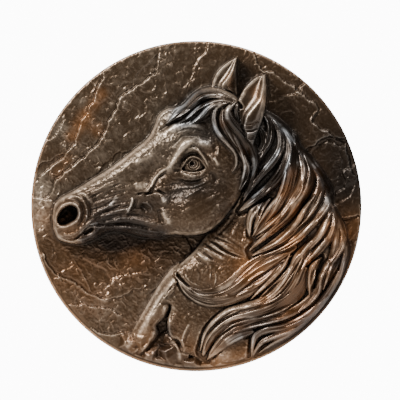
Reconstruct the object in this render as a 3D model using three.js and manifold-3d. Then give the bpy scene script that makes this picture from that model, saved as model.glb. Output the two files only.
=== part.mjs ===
// A round wall plaque, cast in one piece: a horse's head and flowing mane in high relief on a disc.
//
// Millimetres. +X right and +Z up as the plaque hangs, +Y into the wall.
// The origin is the centre of the flat back, so the relief rises towards -Y.
//
// The relief is laid out on a drawing sheet, in millimetres right and down from the sheet's corner.
// It is built up as a carver would: broad masses first, then ridges and locks of hair laid over them,
// and last the hollows that are cut in.
import * as THREE from "three";
import { mergeVertices } from "three/addons/utils/BufferGeometryUtils.js";
import Module from "manifold-3d";

const wasm = await Module();
wasm.setup();

// Disc
const plaqueDiameter = 330;
const discThickness = 13;
const rimRound = 2.5;
const discFacets = 90;

// Relief: how far the cheek, its highest mass, stands above the disc
const reliefDepth = 38;

// Hanging keyhole in the back: a screw's head goes in at the entry and slides up behind the lip
const keyholeEntryDiameter = 12;
const keyholeSlotWidth = 6;
const keyholeSlotLength = 16;
const keyholeDepth = 9;
const keyholeLip = 3;
const keyholeBelowTop = 62;
const keyholeSideways = 12.4;
const keyholeFacets = 24;

// The drawing sheet, and the sizes of the plaque as it is drawn there
const sheetCentre = [196, 206];
const drawnDiameter = 330;
const drawnDepth = 38;

const planScale = plaqueDiameter / drawnDiameter;
const depthScale = reliefDepth / drawnDepth;
// Every mass, ridge and lock is rooted at this height, inside the disc
const rootHeight = discThickness * 0.6;
// The relief and the ledges stop this far inside the disc's edge
const edgeMargin = 1.5;

const bronze = new THREE.MeshStandardMaterial({
  name: "bronze",
  color: new THREE.Color(0.2, 0.13, 0.085),
  roughness: 0.42,
  metalness: 0.85,
});

// Drawing helpers

const onPlaque = ([right, down]) =>
  new THREE.Vector2(
    (right - sheetCentre[0]) * planScale,
    (sheetCentre[1] - down) * planScale,
  );

function curveThrough(points, closed = false) {
  const at = points.map(onPlaque).map((p) => new THREE.Vector3(p.x, 0, p.y));
  return new THREE.CatmullRomCurve3(at, closed, "centripetal");
}

const pointOn = (curve, share) => {
  const p = curve.getPointAt(share);
  return new THREE.Vector2(p.x, p.z);
};

const tangentOn = (curve, share) => {
  const t = curve.getTangentAt(share);
  return new THREE.Vector2(t.x, t.z).normalize();
};

function distanceToLoop(loop, point) {
  let nearest = Infinity;
  let inside = false;
  for (let i = 0, j = loop.length - 1; i < loop.length; j = i++) {
    const a = loop[j];
    const b = loop[i];
    const along = b.clone().sub(a);
    const t = THREE.MathUtils.clamp(point.clone().sub(a).dot(along) / along.lengthSq(), 0, 1);
    nearest = Math.min(nearest, a.clone().addScaledVector(along, t).distanceTo(point));
    const crosses = a.y > point.y !== b.y > point.y;
    if (crosses && point.x < ((b.x - a.x) * (point.y - a.y)) / (b.y - a.y) + a.x) inside = !inside;
  }
  return inside ? nearest : -nearest;
}

// Masses: two edges that run the same way, the rounding of their flanks, heights at a few places,
// and swells as [right, down, radius, height], hollows where the height is below nought
const masses = {
  mane: {
    swells: [[268, 190, 14, -6], [240, 222, 9, -3], [225, 275, 14, 3], [200, 275, 12, 3], [190, 320, 14, 2]],
    edges: [
      [[232, 112], [252, 108], [268, 114], [284, 128], [298, 146], [312, 163], [323, 181], [331, 203],
        [341, 226], [347, 250], [343, 276], [332, 298], [313, 318], [289, 336], [262, 351], [236, 361],
        [214, 363]],
      [[214, 150], [226, 184], [222, 212], [208, 232], [196, 248], [183, 261], [172, 272], [170, 286],
        [176, 300], [170, 316], [168, 330], [174, 342], [184, 354], [196, 362], [204, 364]],
    ],
    round: 26,
    flank: 0.3,
    levels: [[240, 130, 26], [280, 170, 27], [262, 215, 25], [236, 228, 21], [312, 215, 25], [300, 262, 24],
      [330, 262, 18], [215, 262, 18], [200, 285, 16], [190, 320, 12], [222, 310, 14], [255, 300, 18],
      [290, 315, 14], [245, 340, 10], [195, 350, 8]],
    cells: [22, 8],
  },
  head: {
    edges: [
      [[53, 217], [55, 205], [61, 198], [72, 192], [90, 181], [112, 167], [134, 150], [148, 138], [154, 127],
        [159, 115], [168, 109], [182, 106], [196, 93], [211, 88], [228, 92], [242, 104], [248, 122]],
      [[54, 229], [58, 238], [67, 242], [82, 243], [97, 237], [110, 231], [126, 232], [142, 236], [158, 237],
        [172, 234], [190, 235], [206, 232], [219, 223], [230, 210], [240, 196], [247, 176], [250, 150]],
    ],
    round: 17,
    flank: 0.5,
    levels: [[60, 205, 27], [68, 236, 26], [78, 215, 30], [100, 195, 31], [112, 224, 25], [130, 170, 32],
      [140, 222, 26], [150, 190, 31], [165, 128, 27], [178, 150, 33], [192, 162, 33], [196, 205, 38],
      [205, 130, 31], [228, 170, 32], [236, 120, 30]],
    swells: [[70, 213, 13, 3.5], [96, 206, 11, -3], [70, 236, 8, 2], [118, 205, 12, -2], [152, 170, 13, -4],
      [142, 208, 10, -3], [185, 146, 9, 4], [193, 165, 13, -4], [193, 167, 7, 4], [178, 190, 11, -2.5],
      [200, 206, 20, 3], [218, 160, 10, 2.5], [205, 125, 12, -2], [110, 178, 10, 2], [226, 190, 10, -2]],
    cells: [36, 13],
  },
  leg: {
    edges: [
      [[173, 268], [163, 279], [152, 296], [142, 312], [134, 328], [128, 342]],
      [[186, 284], [177, 300], [168, 316], [160, 330], [151, 343], [139, 354]],
    ],
    round: 9,
    flank: 0.35,
    levels: [[175, 280, 17], [150, 315, 14], [135, 345, 8]],
    swells: [],
    cells: [12, 5],
  },
};

for (const mass of Object.values(masses)) {
  mass.curves = mass.edges.map((edge) => curveThrough(edge));
  const [first, second] = mass.curves.map((curve) =>
    curve.getSpacedPoints(60).map((p) => new THREE.Vector2(p.x, p.z)),
  );
  mass.loop = [...first, ...second.reverse()];
}

// The height of a mass above the disc, from how far the point lies inside its outline
function massHeight(mass, point) {
  const depth = distanceToLoop(mass.loop, point);
  if (depth < -0.01) return -Infinity;
  let sum = 0;
  let weights = 0;
  for (const [right, down, height] of mass.levels) {
    const away = onPlaque([right, down]).distanceTo(point) / planScale;
    const weight = 1 / (away * away + 90) ** 1.5;
    sum += weight * height;
    weights += weight;
  }
  let level = sum / weights;
  for (const [right, down, radius, height] of mass.swells) {
    const away = onPlaque([right, down]).distanceTo(point) / planScale;
    level += height * Math.exp(-((away / radius) ** 2));
  }
  const inset = 1 - Math.min(Math.max(depth, 0) / (mass.round * planScale), 1);
  const roundness = (1 - inset ** 2.3) ** (1 / 2.3);
  return level * depthScale * (mass.flank + (1 - mass.flank) * roundness);
}

const reliefHeight = (point) =>
  Math.max(0, ...Object.values(masses).map((mass) => massHeight(mass, point)));

// Solids

// A closed solid under a grid of points: the grid on top, walls down to the root, and a flat underside.
// Each point is [x, height above the disc, z].
function solidUnder(rows) {
  const across = rows[0].length;
  const positions = [];
  for (const row of rows)
    for (const [x, height, z] of row) positions.push(x, -(discThickness + height), z);
  for (const row of rows) for (const [x, , z] of row) positions.push(x, -rootHeight, z);
  const lower = rows.length * across;
  const index = [];
  const quad = (a, b, c, d) => index.push(a, b, c, a, c, d);
  const at = (i, j) => i * across + j;
  for (let i = 0; i + 1 < rows.length; i++)
    for (let j = 0; j + 1 < across; j++) {
      quad(at(i, j), at(i + 1, j), at(i + 1, j + 1), at(i, j + 1));
      quad(lower + at(i, j), lower + at(i, j + 1), lower + at(i + 1, j + 1), lower + at(i + 1, j));
    }
  const wall = (a, b) => quad(a, b, lower + b, lower + a);
  for (let i = 0; i + 1 < rows.length; i++) {
    wall(at(i + 1, 0), at(i, 0));
    wall(at(i, across - 1), at(i + 1, across - 1));
  }
  for (let j = 0; j + 1 < across; j++) {
    wall(at(0, j), at(0, j + 1));
    wall(at(rows.length - 1, j + 1), at(rows.length - 1, j));
  }
  return facingOut(new Float32Array(positions), new Uint32Array(index));
}

// A three.js geometry as a manifold-3d solid
function solidOf(geometry) {
  const bare = geometry.clone();
  bare.deleteAttribute("normal");
  bare.deleteAttribute("uv");
  const merged = mergeVertices(bare, 1e-4);
  return facingOut(
    new Float32Array(merged.attributes.position.array),
    new Uint32Array(merged.index.array),
  );
}

function facingOut(vertProperties, triVerts) {
  let made = new wasm.Manifold(new wasm.Mesh({ numProp: 3, vertProperties, triVerts }));
  if (made.volume() < 0) {
    for (let i = 0; i < triVerts.length; i += 3)
      [triVerts[i + 1], triVerts[i + 2]] = [triVerts[i + 2], triVerts[i + 1]];
    made = new wasm.Manifold(new wasm.Mesh({ numProp: 3, vertProperties, triVerts }));
  }
  return made;
}

function massSolid(mass) {
  const [along, across] = mass.cells;
  const rows = [];
  for (let i = 0; i <= along; i++) {
    const ends = mass.curves.map((curve) => pointOn(curve, i / along));
    const row = [];
    for (let j = 0; j <= across; j++) {
      // Closer together near the edges, where the flanks turn over
      const share = (1 - Math.cos((Math.PI * j) / across)) / 2;
      const p = ends[0].clone().lerp(ends[1], share);
      row.push([p.x, Math.max(massHeight(mass, p), 0.5), p.y]);
    }
    rows.push(row);
  }
  return solidUnder(rows);
}

// A raised ridge or a lock of hair that rides on the masses.
// width is its full width, rise its crest above the masses, and lean tips the crest to one side.
// root and tip are the widths at its ends, as shares of the full width.
// lift is how much of the rise stands as a step along its edges.
function ridgeSolid({ path, width, rise, lean = 0, root = 0.5, tip = 0.1 }, lift, cells) {
  const curve = curveThrough(path);
  const length = curve.getLength();
  const along = Math.max(4, Math.round(length / (cells.length * planScale)));
  const sections = cells.sections;
  const rows = [];
  for (let i = 0; i <= along; i++) {
    const share = i / along;
    const swell = ridgeSwell(share, root, tip);
    const centre = pointOn(curve, share);
    const tangent = tangentOn(curve, share);
    const side = new THREE.Vector2(-tangent.y, tangent.x);
    const base = reliefHeight(centre);
    const row = sections.map((s) => {
      const p = centre.clone().addScaledVector(side, (s * width * planScale * swell) / 2);
      const under = Math.max(reliefHeight(p), 0);
      const level = THREE.MathUtils.lerp(under, base, 0.5);
      const crown = (1 - Math.abs(s) ** 2.2) * (1 - lift) + lift + lean * s;
      const height = level + rise * depthScale * (0.35 + 0.65 * swell) * crown;
      return [p.x, Math.max(height, 0.6), p.y];
    });
    rows.push(row);
  }
  return solidUnder(rows);
}

// The width of a ridge along its length: full by a third of the way, then drawn out to the tip
function ridgeSwell(share, root, tip) {
  const opening = root + (1 - root) * Math.sin(Math.min(share / 0.35, 1) * (Math.PI / 2));
  const closing = tip + (1 - tip) * (1 - Math.max(0, (share - 0.35) / 0.65) ** 2.4);
  return opening * closing;
}

const hairLift = 0.4;
const skinLift = 0.05;
const hairCells = { length: 16, sections: [-1, -0.35, 0.4, 1] };
const skinCells = { length: 11, sections: [-1, 0, 1] };

const maneLocks = [
  // Down the neck, from behind the ear to the crest's outer edge
  { path: [[262, 114], [268, 128], [267, 142], [260, 155], [250, 168]], width: 8, rise: 5, lean: 0.2 },
  { path: [[270, 118], [279, 131], [281, 146], [274, 160], [260, 176], [246, 196]],
    width: 10, rise: 7, lean: 0.2 },
  { path: [[276, 122], [289, 138], [292, 156], [287, 175], [281, 194], [270, 214], [251, 238]],
    width: 13, rise: 8, lean: 0.25 },
  { path: [[284, 128], [298, 146], [303, 163], [297, 183], [285, 205], [268, 226], [250, 248]],
    width: 15, rise: 9, lean: 0.2 },
  { path: [[298, 148], [308, 166], [307, 184], [297, 204], [283, 222], [266, 238], [250, 252]],
    width: 12, rise: 9, lean: -0.1 },
  { path: [[308, 160], [319, 178], [319, 196], [308, 216], [292, 234], [272, 247], [250, 256]],
    width: 14, rise: 9, lean: 0.2 },
  { path: [[318, 172], [328, 190], [326, 208], [313, 224], [297, 239], [276, 251], [254, 258]],
    width: 13, rise: 8, lean: 0.2 },
  { path: [[262, 196], [253, 208], [249, 221], [249, 235]], width: 7, rise: 5, lean: -0.2 },
  { path: [[275, 196], [264, 209], [256, 222], [251, 236]], width: 7, rise: 6, lean: 0.2 },
  // Across the shoulder
  { path: [[329, 200], [331, 216], [318, 232], [301, 248], [287, 264], [272, 279], [252, 297]],
    width: 13, rise: 9, lean: 0.2 },
  { path: [[333, 212], [331, 230], [321, 246], [307, 261], [294, 276], [282, 290], [266, 301]],
    width: 13, rise: 8, lean: 0.15 },
  { path: [[337, 222], [341, 238], [336, 254], [323, 268], [314, 283], [309, 298]],
    width: 11, rise: 7, lean: -0.2 },
  { path: [[341, 234], [346, 250], [344, 266], [337, 281], [327, 296], [313, 312]],
    width: 10, rise: 6, lean: 0.2 },
  { path: [[336, 256], [328, 272], [321, 288], [310, 303], [293, 315], [270, 321]],
    width: 12, rise: 7, lean: 0.2 },
  // The collar of hair that ends at the throat
  { path: [[290, 252], [272, 259], [254, 267], [240, 279], [225, 289], [207, 294], [192, 290]],
    width: 17, rise: 6, lean: -0.2 },
  { path: [[286, 268], [265, 283], [245, 294], [222, 300], [200, 298], [185, 288], [173, 275]],
    width: 11, rise: 6, lean: 0.1, tip: 0.35 },
  // Long locks that fall to the lower edge
  { path: [[302, 254], [290, 271], [279, 287], [266, 300], [246, 307], [224, 315], [209, 329], [200, 352]],
    width: 13, rise: 8, lean: 0.2 },
  { path: [[312, 264], [302, 280], [290, 295], [272, 308], [250, 316], [228, 322], [213, 334], [204, 356]],
    width: 16, rise: 8, lean: -0.1 },
  { path: [[316, 284], [303, 301], [284, 312], [262, 318], [240, 327], [222, 338], [208, 355]],
    width: 13, rise: 7, lean: 0.2 },
  { path: [[338, 270], [329, 290], [314, 307], [295, 320], [276, 327], [260, 337], [252, 354]],
    width: 13, rise: 7, lean: -0.2, tip: 0.3 },
  { path: [[334, 296], [318, 314], [300, 328], [282, 337], [268, 344], [260, 352]],
    width: 12, rise: 6, lean: 0.1 },
  { path: [[247, 331], [232, 337], [220, 346], [209, 357]], width: 13, rise: 6, lean: 0.1 },
];

const forelock = [
  { path: [[241, 104], [227, 92], [211, 89], [198, 95], [187, 106], [167, 122]],
    width: 13, rise: 8, lean: -0.2 },
  { path: [[236, 103], [221, 99], [207, 103], [196, 112], [179, 124]], width: 7, rise: 7 },
  { path: [[232, 103], [219, 103], [208, 109], [202, 117], [190, 126]], width: 7, rise: 7 },
  { path: [[228, 102], [217, 108], [214, 121], [219, 134], [231, 146], [237, 158], [233, 170]],
    width: 6, rise: 8, tip: 0.3 },
  { path: [[234, 103], [227, 111], [230, 122], [241, 136], [251, 150], [254, 166], [247, 184]],
    width: 12, rise: 9 },
  { path: [[222, 110], [224, 124], [235, 141], [244, 156], [246, 170], [240, 184]],
    width: 9, rise: 8, tip: 0.25 },
  { path: [[250, 152], [254, 168], [250, 184], [242, 200]], width: 8, rise: 6 },
];

// Bone, muscle and skin: the nose's edge, nostril, lips, brow, lids, cheek and the folds of the throat
const skinRidges = [
  { path: [[76, 193], [100, 180], [122, 168], [142, 154], [163, 139], [186, 130], [200, 128]],
    width: 13, rise: 3, root: 0.4, tip: 0.4 },
  { path: [[60, 225], [56, 215], [59, 206], [68, 202], [77, 205], [81, 213], [78, 222], [69, 227]],
    width: 6, rise: 4, root: 0.7, tip: 0.6 },
  { path: [[78, 196], [88, 203], [92, 214], [86, 226]], width: 5, rise: 2.5, root: 0.5, tip: 0.4 },
  { path: [[168, 170], [176, 156], [185, 145], [197, 141], [211, 147]],
    width: 10, rise: 5, root: 0.4, tip: 0.4 },
  { path: [[178, 169], [184, 159], [193, 154], [202, 159], [208, 168]],
    width: 5, rise: 4, root: 0.5, tip: 0.5 },
  { path: [[178, 171], [186, 177], [196, 178], [206, 172]], width: 5.5, rise: 3.5, root: 0.5, tip: 0.5 },
  { path: [[207, 154], [215, 162], [217, 172]], width: 9, rise: 3, root: 0.6, tip: 0.5 },
  { path: [[169, 168], [156, 178], [149, 189], [136, 196]], width: 7, rise: 4, root: 0.6, tip: 0.3 },
  { path: [[135, 197], [129, 208], [120, 217]], width: 6, rise: 3, root: 0.7, tip: 0.3 },
  { path: [[150, 192], [163, 199], [165, 212], [171, 224]], width: 10, rise: 4, root: 0.5, tip: 0.5 },
  { path: [[100, 221], [122, 220], [146, 223], [168, 229]], width: 10, rise: 3.5, root: 0.5, tip: 0.3 },
  { path: [[84, 231], [98, 224], [110, 214], [124, 203]], width: 7, rise: 2.5, root: 0.5, tip: 0.2 },
  { path: [[64, 237], [76, 240], [90, 237], [104, 229]], width: 8, rise: 3, root: 0.6, tip: 0.3 },
  { path: [[206, 236], [224, 246], [247, 256]], width: 7, rise: 3, root: 0.7, tip: 0.2 },
  { path: [[200, 244], [217, 254], [240, 261]], width: 7, rise: 3, root: 0.7, tip: 0.2 },
  { path: [[193, 252], [207, 261], [226, 267]], width: 8, rise: 3, root: 0.7, tip: 0.2 },
  { path: [[173, 273], [159, 294], [148, 311], [139, 326], [131, 341]],
    width: 8, rise: 5, root: 0.6, tip: 0.5 },
];

const eyeballs = [{ centre: [193, 165], radius: 8.5, out: 2.5 }];

// An ear: the edge that faces the nose, the folded edge, and the back, each from base to tip
const ears = [
  {
    front: [[212, 96], [212, 84], [217, 73], [225, 65], [236, 58]],
    fold: [[224, 96], [222, 86], [227, 79], [232, 70], [236, 58]],
    back: [[237, 100], [236, 88], [236, 78], [236, 68], [236.5, 58]],
    heights: [13, 8, 16, 11, 4],
  },
  {
    front: [[238, 126], [239, 110], [243, 98], [251, 84], [264, 76]],
    fold: [[241, 128], [247, 116], [257, 106], [261, 91], [264.5, 76]],
    back: [[252, 146], [259, 130], [265, 112], [267, 92], [266, 76]],
    heights: [30, 22, 37, 31, 16],
  },
];

function earSolid({ front, fold, back, heights }) {
  const curves = [front, fold, back].map((edge) => curveThrough(edge));
  const along = 9;
  const rows = [];
  for (let i = 0; i <= along; i++) {
    const share = (i / along) * 0.97;
    const [a, b, c] = curves.map((curve) => pointOn(curve, share));
    const spots = [a, a.clone().lerp(b, 0.5), b, b.clone().lerp(c, 0.5), c];
    const sink = 1 - 0.12 * share;
    rows.push(spots.map((p, j) => [p.x, heights[j] * sink * depthScale, p.y]));
  }
  return solidUnder(rows);
}

// Ledges of the ground: thin layers, each with a broken edge, out to the disc's edge
const ledges = [
  { outline: [[162, 40], [158, 62], [148, 80], [124, 95], [110, 120], [100, 138], [82, 156], [62, 176],
      [50, 194],
    [41, 214], [20, 214], [20, 20], [162, 20]], height: 1.6 },
  { outline: [[108, 40], [98, 90], [84, 116], [74, 142], [60, 160], [30, 186], [10, 186], [10, 40]],
    height: 3 },
  { outline: [[42, 250], [52, 268], [70, 280], [92, 290], [104, 300], [88, 306], [64, 304], [50, 310],
      [20, 310],
    [20, 250]], height: 1.5 },
  { outline: [[88, 328], [108, 334], [122, 330], [132, 345], [134, 372], [70, 372]], height: 2.4 },
  { outline: [[157, 353], [161, 341], [170, 343], [174, 355], [169, 362], [160, 361]], height: 6 },
  { outline: [[170, 358], [178, 357], [186, 364], [188, 380], [168, 380]], height: 4 },
  { outline: [[206, 357], [216, 349], [232, 352], [246, 348], [249, 362], [230, 366], [210, 364]],
    height: 7 },
  { outline: [[250, 40], [256, 64], [272, 74], [290, 86], [308, 98], [318, 112], [313, 124], [330, 136],
      [347, 148],
    [354, 176], [360, 206], [390, 206], [390, 40]], height: 1.6 },
];

// Drawn past the disc's edge, where it is trimmed with the rest
function ledgeSolid({ outline, height }) {
  const depth = discThickness - rootHeight + height * depthScale;
  const geometry = new THREE.ExtrudeGeometry(new THREE.Shape(outline.map(onPlaque)), {
    depth,
    bevelEnabled: false,
  });
  geometry.rotateX(Math.PI / 2);
  geometry.translate(0, -rootHeight, 0);
  return solidOf(geometry);
}

function discSolid() {
  const radius = plaqueDiameter / 2;
  const profile = [[0, 0], [radius, 0], [radius, discThickness - rimRound]];
  const steps = 2;
  for (let i = 1; i <= steps; i++) {
    const turn = (i / steps) * (Math.PI / 2);
    profile.push([
      radius - rimRound * (1 - Math.cos(turn)),
      discThickness - rimRound * (1 - Math.sin(turn)),
    ]);
  }
  profile.push([0, discThickness]);
  const points = profile.map(([r, h]) => new THREE.Vector2(r, h));
  const geometry = new THREE.LatheGeometry(points, discFacets);
  geometry.rotateX(Math.PI);
  return solidOf(geometry);
}

// Hollows

// A plug that stands in front of the relief and reaches down to a floor above the disc
function plugCutter(outline, floor) {
  const shape = new THREE.Shape(curveThrough(outline, true).getSpacedPoints(16).slice(0, 16)
    .map((p) => new THREE.Vector2(p.x, p.z)));
  const reach = reliefDepth * 2;
  const geometry = new THREE.ExtrudeGeometry(shape, { depth: reach, bevelEnabled: false });
  geometry.rotateX(Math.PI / 2);
  geometry.translate(0, -(discThickness + floor * depthScale), 0);
  return solidOf(geometry);
}

const nostril = { outline: [[58, 221], [57, 215], [61, 208], [69, 205], [76, 209], [78, 216], [73, 223],
    [64, 225]], floor: 12 };
const mouth = { outline: [[81, 236], [89, 228], [99, 222], [99, 227], [92, 232]], floor: 18 };

function keyholeSolid() {
  const entryRadius = keyholeEntryDiameter / 2;
  const centre = new THREE.Vector2(keyholeSideways, plaqueDiameter / 2 - keyholeBelowTop);
  const slotted = (halfWidth, depth, start) => {
    const shape = new THREE.Shape();
    shape.moveTo(centre.x - halfWidth, centre.y);
    shape.absarc(centre.x, centre.y + keyholeSlotLength, halfWidth, Math.PI, 0, true);
    shape.absarc(centre.x, centre.y, halfWidth, 0, -Math.PI, true);
    const geometry = new THREE.ExtrudeGeometry(shape, {
      depth,
      bevelEnabled: false,
      curveSegments: keyholeFacets / 2,
    });
    geometry.rotateX(Math.PI / 2);
    geometry.translate(0, -start, 0);
    return solidOf(geometry);
  };
  const entry = new THREE.CylinderGeometry(entryRadius, entryRadius, keyholeDepth + 1, keyholeFacets);
  entry.translate(centre.x, -(keyholeDepth - 1) / 2, centre.y);
  return slotted(keyholeSlotWidth / 2, keyholeLip + 1.5, -1)
    .add(slotted(entryRadius, keyholeDepth - keyholeLip, keyholeLip))
    .add(solidOf(entry));
}

function eyeballSolid({ centre, radius, out }) {
  const at = onPlaque(centre);
  const geometry = new THREE.SphereGeometry(radius * planScale, 12, 8);
  geometry.scale(1, 0.7 * (depthScale / planScale), 1);
  const height = discThickness + reliefHeight(at) - out * depthScale;
  geometry.translate(at.x, -height, at.y);
  return solidOf(geometry);
}

// The whole plaque

function plaqueSolid() {
  const raised = wasm.Manifold.union([
    ...ledges.map(ledgeSolid),
    ...Object.values(masses).map(massSolid),
    ...ears.map(earSolid),
    ...[...maneLocks, ...forelock].map((lock) => ridgeSolid(lock, hairLift, hairCells)),
    ...skinRidges.map((ridge) => ridgeSolid(ridge, skinLift, skinCells)),
    ...eyeballs.map(eyeballSolid),
  ]);
  const radius = plaqueDiameter / 2 - edgeMargin;
  const trim = solidOf(new THREE.CylinderGeometry(radius, radius, plaqueDiameter, discFacets));
  const cut = wasm.Manifold.union([
    plugCutter(nostril.outline, nostril.floor),
    plugCutter(mouth.outline, mouth.floor),
    keyholeSolid(),
  ]);
  return discSolid().add(raised.intersect(trim)).subtract(cut);
}

function geometryOf(solid) {
  const mesh = solid.getMesh();
  const geometry = new THREE.BufferGeometry();
  geometry.setAttribute("position", new THREE.Float32BufferAttribute(mesh.vertProperties, mesh.numProp));
  geometry.setIndex([...mesh.triVerts]);
  geometry.computeVertexNormals();
  return geometry;
}

const plaque = new THREE.Mesh(geometryOf(plaqueSolid()), bronze);
plaque.name = "plaque";

const model = new THREE.Group();
model.add(plaque);
export default model;
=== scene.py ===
# Round bronze wall plaque: a horse's head and mane in high relief, sculpted as a height map and meshed.
import bmesh
import bpy
import math
import numpy as np
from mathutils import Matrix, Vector


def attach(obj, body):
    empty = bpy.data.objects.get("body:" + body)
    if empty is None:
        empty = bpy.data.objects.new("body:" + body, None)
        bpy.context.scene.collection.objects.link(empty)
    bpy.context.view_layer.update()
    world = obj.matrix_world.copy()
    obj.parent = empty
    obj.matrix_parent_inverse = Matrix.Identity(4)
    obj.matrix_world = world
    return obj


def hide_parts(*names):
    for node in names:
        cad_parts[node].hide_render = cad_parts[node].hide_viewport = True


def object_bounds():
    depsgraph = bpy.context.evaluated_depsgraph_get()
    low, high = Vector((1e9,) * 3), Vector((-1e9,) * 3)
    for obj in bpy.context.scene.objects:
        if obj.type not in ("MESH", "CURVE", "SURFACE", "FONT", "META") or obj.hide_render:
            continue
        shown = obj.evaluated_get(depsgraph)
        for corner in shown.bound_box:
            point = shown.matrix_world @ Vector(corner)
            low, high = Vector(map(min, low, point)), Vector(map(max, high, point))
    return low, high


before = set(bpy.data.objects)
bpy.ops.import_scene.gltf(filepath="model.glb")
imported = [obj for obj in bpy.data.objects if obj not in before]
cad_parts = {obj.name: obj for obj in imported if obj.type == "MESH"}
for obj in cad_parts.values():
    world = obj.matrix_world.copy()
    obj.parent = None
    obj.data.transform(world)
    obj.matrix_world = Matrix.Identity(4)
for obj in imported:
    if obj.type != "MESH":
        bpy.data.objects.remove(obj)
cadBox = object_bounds()
print("frame loaded")

# The relief is drawn in millimetres, right and down from a sheet's corner, like the solid's own drawing.
plaque = {
    "sheetCentre": (196.0, 206.0),
    "diameter": 330.0,
    "thickness": 13.0,   # back face to ground
    "edgeRound": 2.5,
    "band": 3.5,         # plain strip round the edge
    "cell": 0.5,         # spacing of the sculpted surface
    "margin": 3,         # how far its grid goes past the disc
    "wallRoot": 6.0,     # height above the back where the relief's own side walls end
    "seed": 7,
}
random = np.random.default_rng(plaque["seed"])


# paths and distances

def smoothPath(points, count=0, closed=False):
    # centripetal curve through the points, evenly spaced
    p = np.array(points, float)
    if closed:
        p = np.vstack([p[-1], p, p[0], p[1]])
    else:
        p = np.vstack([2 * p[0] - p[1], p, 2 * p[-1] - p[-2]])
    t = np.linspace(0, 1, 12, endpoint=False)[:, None]
    fine = []
    for a, b, c, d in zip(p, p[1:], p[2:], p[3:]):
        ta, tb, tc = (max(float(np.hypot(*v)), 1e-6) ** 0.5 for v in (b - a, c - b, d - c))
        m1 = ((b - a) / ta - (c - a) / (ta + tb) + (c - b) / tb) * tb
        m2 = ((c - b) / tb - (d - b) / (tb + tc) + (d - c) / tc) * tb
        fine.append((2 * t**3 - 3 * t**2 + 1) * b + (t**3 - 2 * t**2 + t) * m1
                    + (3 * t**2 - 2 * t**3) * c + (t**3 - t**2) * m2)
    fine.append(p[-2:-1])
    fine = np.vstack(fine)
    run = np.concatenate([[0], np.cumsum(np.hypot(*np.diff(fine, axis=0).T))])
    count = count or max(6, int(run[-1] / 3))
    at = np.linspace(0, run[-1], count + 1)
    return np.column_stack([np.interp(at, run, fine[:, 0]), np.interp(at, run, fine[:, 1])])


def alongPath(path, right, down):
    # for each point: its distance to the path, the share of the path's length there, and its side
    best = np.full(right.shape, 1e12)
    share = np.zeros(right.shape)
    side = np.ones(right.shape)
    steps = np.hypot(*np.diff(path, axis=0).T)
    run = np.concatenate([[0], np.cumsum(steps)])
    for i in range(len(steps)):
        if steps[i] < 1e-9:
            continue
        ux, uy = (path[i + 1] - path[i]) / steps[i]
        rx, ry = right - path[i, 0], down - path[i, 1]
        along = np.clip(rx * ux + ry * uy, 0, steps[i])
        gap = (rx - along * ux) ** 2 + (ry - along * uy) ** 2
        near = gap < best
        best = np.where(near, gap, best)
        share = np.where(near, (run[i] + along) / run[-1], share)
        side = np.where(near, np.sign(ux * ry - uy * rx), side)
    return np.sqrt(best), share, side


def insideLoop(loop, right, down):
    inside = np.zeros(right.shape, bool)
    for (ax, ay), (bx, by) in zip(loop, np.roll(loop, -1, axis=0)):
        crosses = (ay > down) != (by > down)
        if ay != by:
            inside ^= crosses & (right < (bx - ax) * (down - ay) / (by - ay) + ax)
    return inside


def depthInside(loop, right, down):
    # distance inside a closed outline, negative outside it
    gap = alongPath(np.vstack([loop, loop[:1]]), right, down)[0]
    return np.where(insideLoop(loop, right, down), gap, -gap)


def smoothStep(low, high, value):
    t = np.clip((value - low) / (high - low), 0, 1)
    return t * t * (3 - 2 * t)


# the sculpted surface: a grid of points with a height and a few finish masks

cell = plaque["cell"]
radius = min(cadBox[1].x, cadBox[1].z) * 1000  # the solid's own reach
across = int((plaque["diameter"] + 2 * plaque["margin"]) / cell) + 1
corner = tuple(middle - (across - 1) * cell / 2 for middle in plaque["sheetCentre"])
right, down = np.meshgrid(corner[0] + cell * np.arange(across), corner[1] + cell * np.arange(across))


def window(points, margin):
    # the rows and columns of the grid round a few points
    low = np.floor((np.min(points, axis=0) - margin - corner) / cell).astype(int)
    high = np.ceil((np.max(points, axis=0) + margin - corner) / cell).astype(int) + 1
    c0, r0 = np.clip(low, 0, across - 2)
    c1, r1 = np.clip(high, 2, across)
    return slice(r0, max(r1, r0 + 1)), slice(c0, max(c1, c0 + 1))


def stroke(points, margin):
    # a smooth path's window, and in it the distance to the path, the share along it and the side
    path = smoothPath(points)
    w = window(path, margin)
    return (w, *alongPath(path, right[w], down[w]))


def spot(r, d, x, y, size, power=1):
    # one at a point, falling away round it
    return np.exp(-(((r - x) ** 2 + (d - y) ** 2) / size**2) ** power)


def blur(field, size):
    # gaussian blur, size in millimetres
    sigma = size / cell
    pad = int(3 * sigma) + 1
    kernel = np.exp(-0.5 * (np.arange(-pad, pad + 1) / sigma) ** 2)
    kernel /= kernel.sum()
    total = field.shape[0] + 2 * pad
    wave = np.fft.rfft(kernel, total)
    out = np.pad(field, pad, mode="edge")
    for axis in (0, 1):
        shape = (-1, 1) if axis == 0 else (1, -1)
        out = np.fft.irfft(np.fft.rfft(out, total, axis=axis) * wave.reshape(shape), total, axis=axis)
        out = np.roll(out, -pad, axis=axis)
    return out[pad:-pad, pad:-pad]


def grain(size, seed):
    # smooth random field of about -1 to 1, with features of the given size
    source = np.random.default_rng(seed)
    count = int(across * cell / size) + 4
    lattice = source.uniform(-1, 1, (count, count))
    at = np.arange(across) * cell / size
    i = at.astype(int)
    f = at - i
    f = f * f * (3 - 2 * f)
    rows = lattice[i] * (1 - f)[:, None] + lattice[i + 1] * f[:, None]
    return rows[:, i] * (1 - f) + rows[:, i + 1] * f


def roughGrain(size, seed, octaves=3):
    return sum(grain(size / 2**k, seed + k) / 2**k for k in range(octaves)) / (2 - 0.5 ** (octaves - 1))


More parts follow.
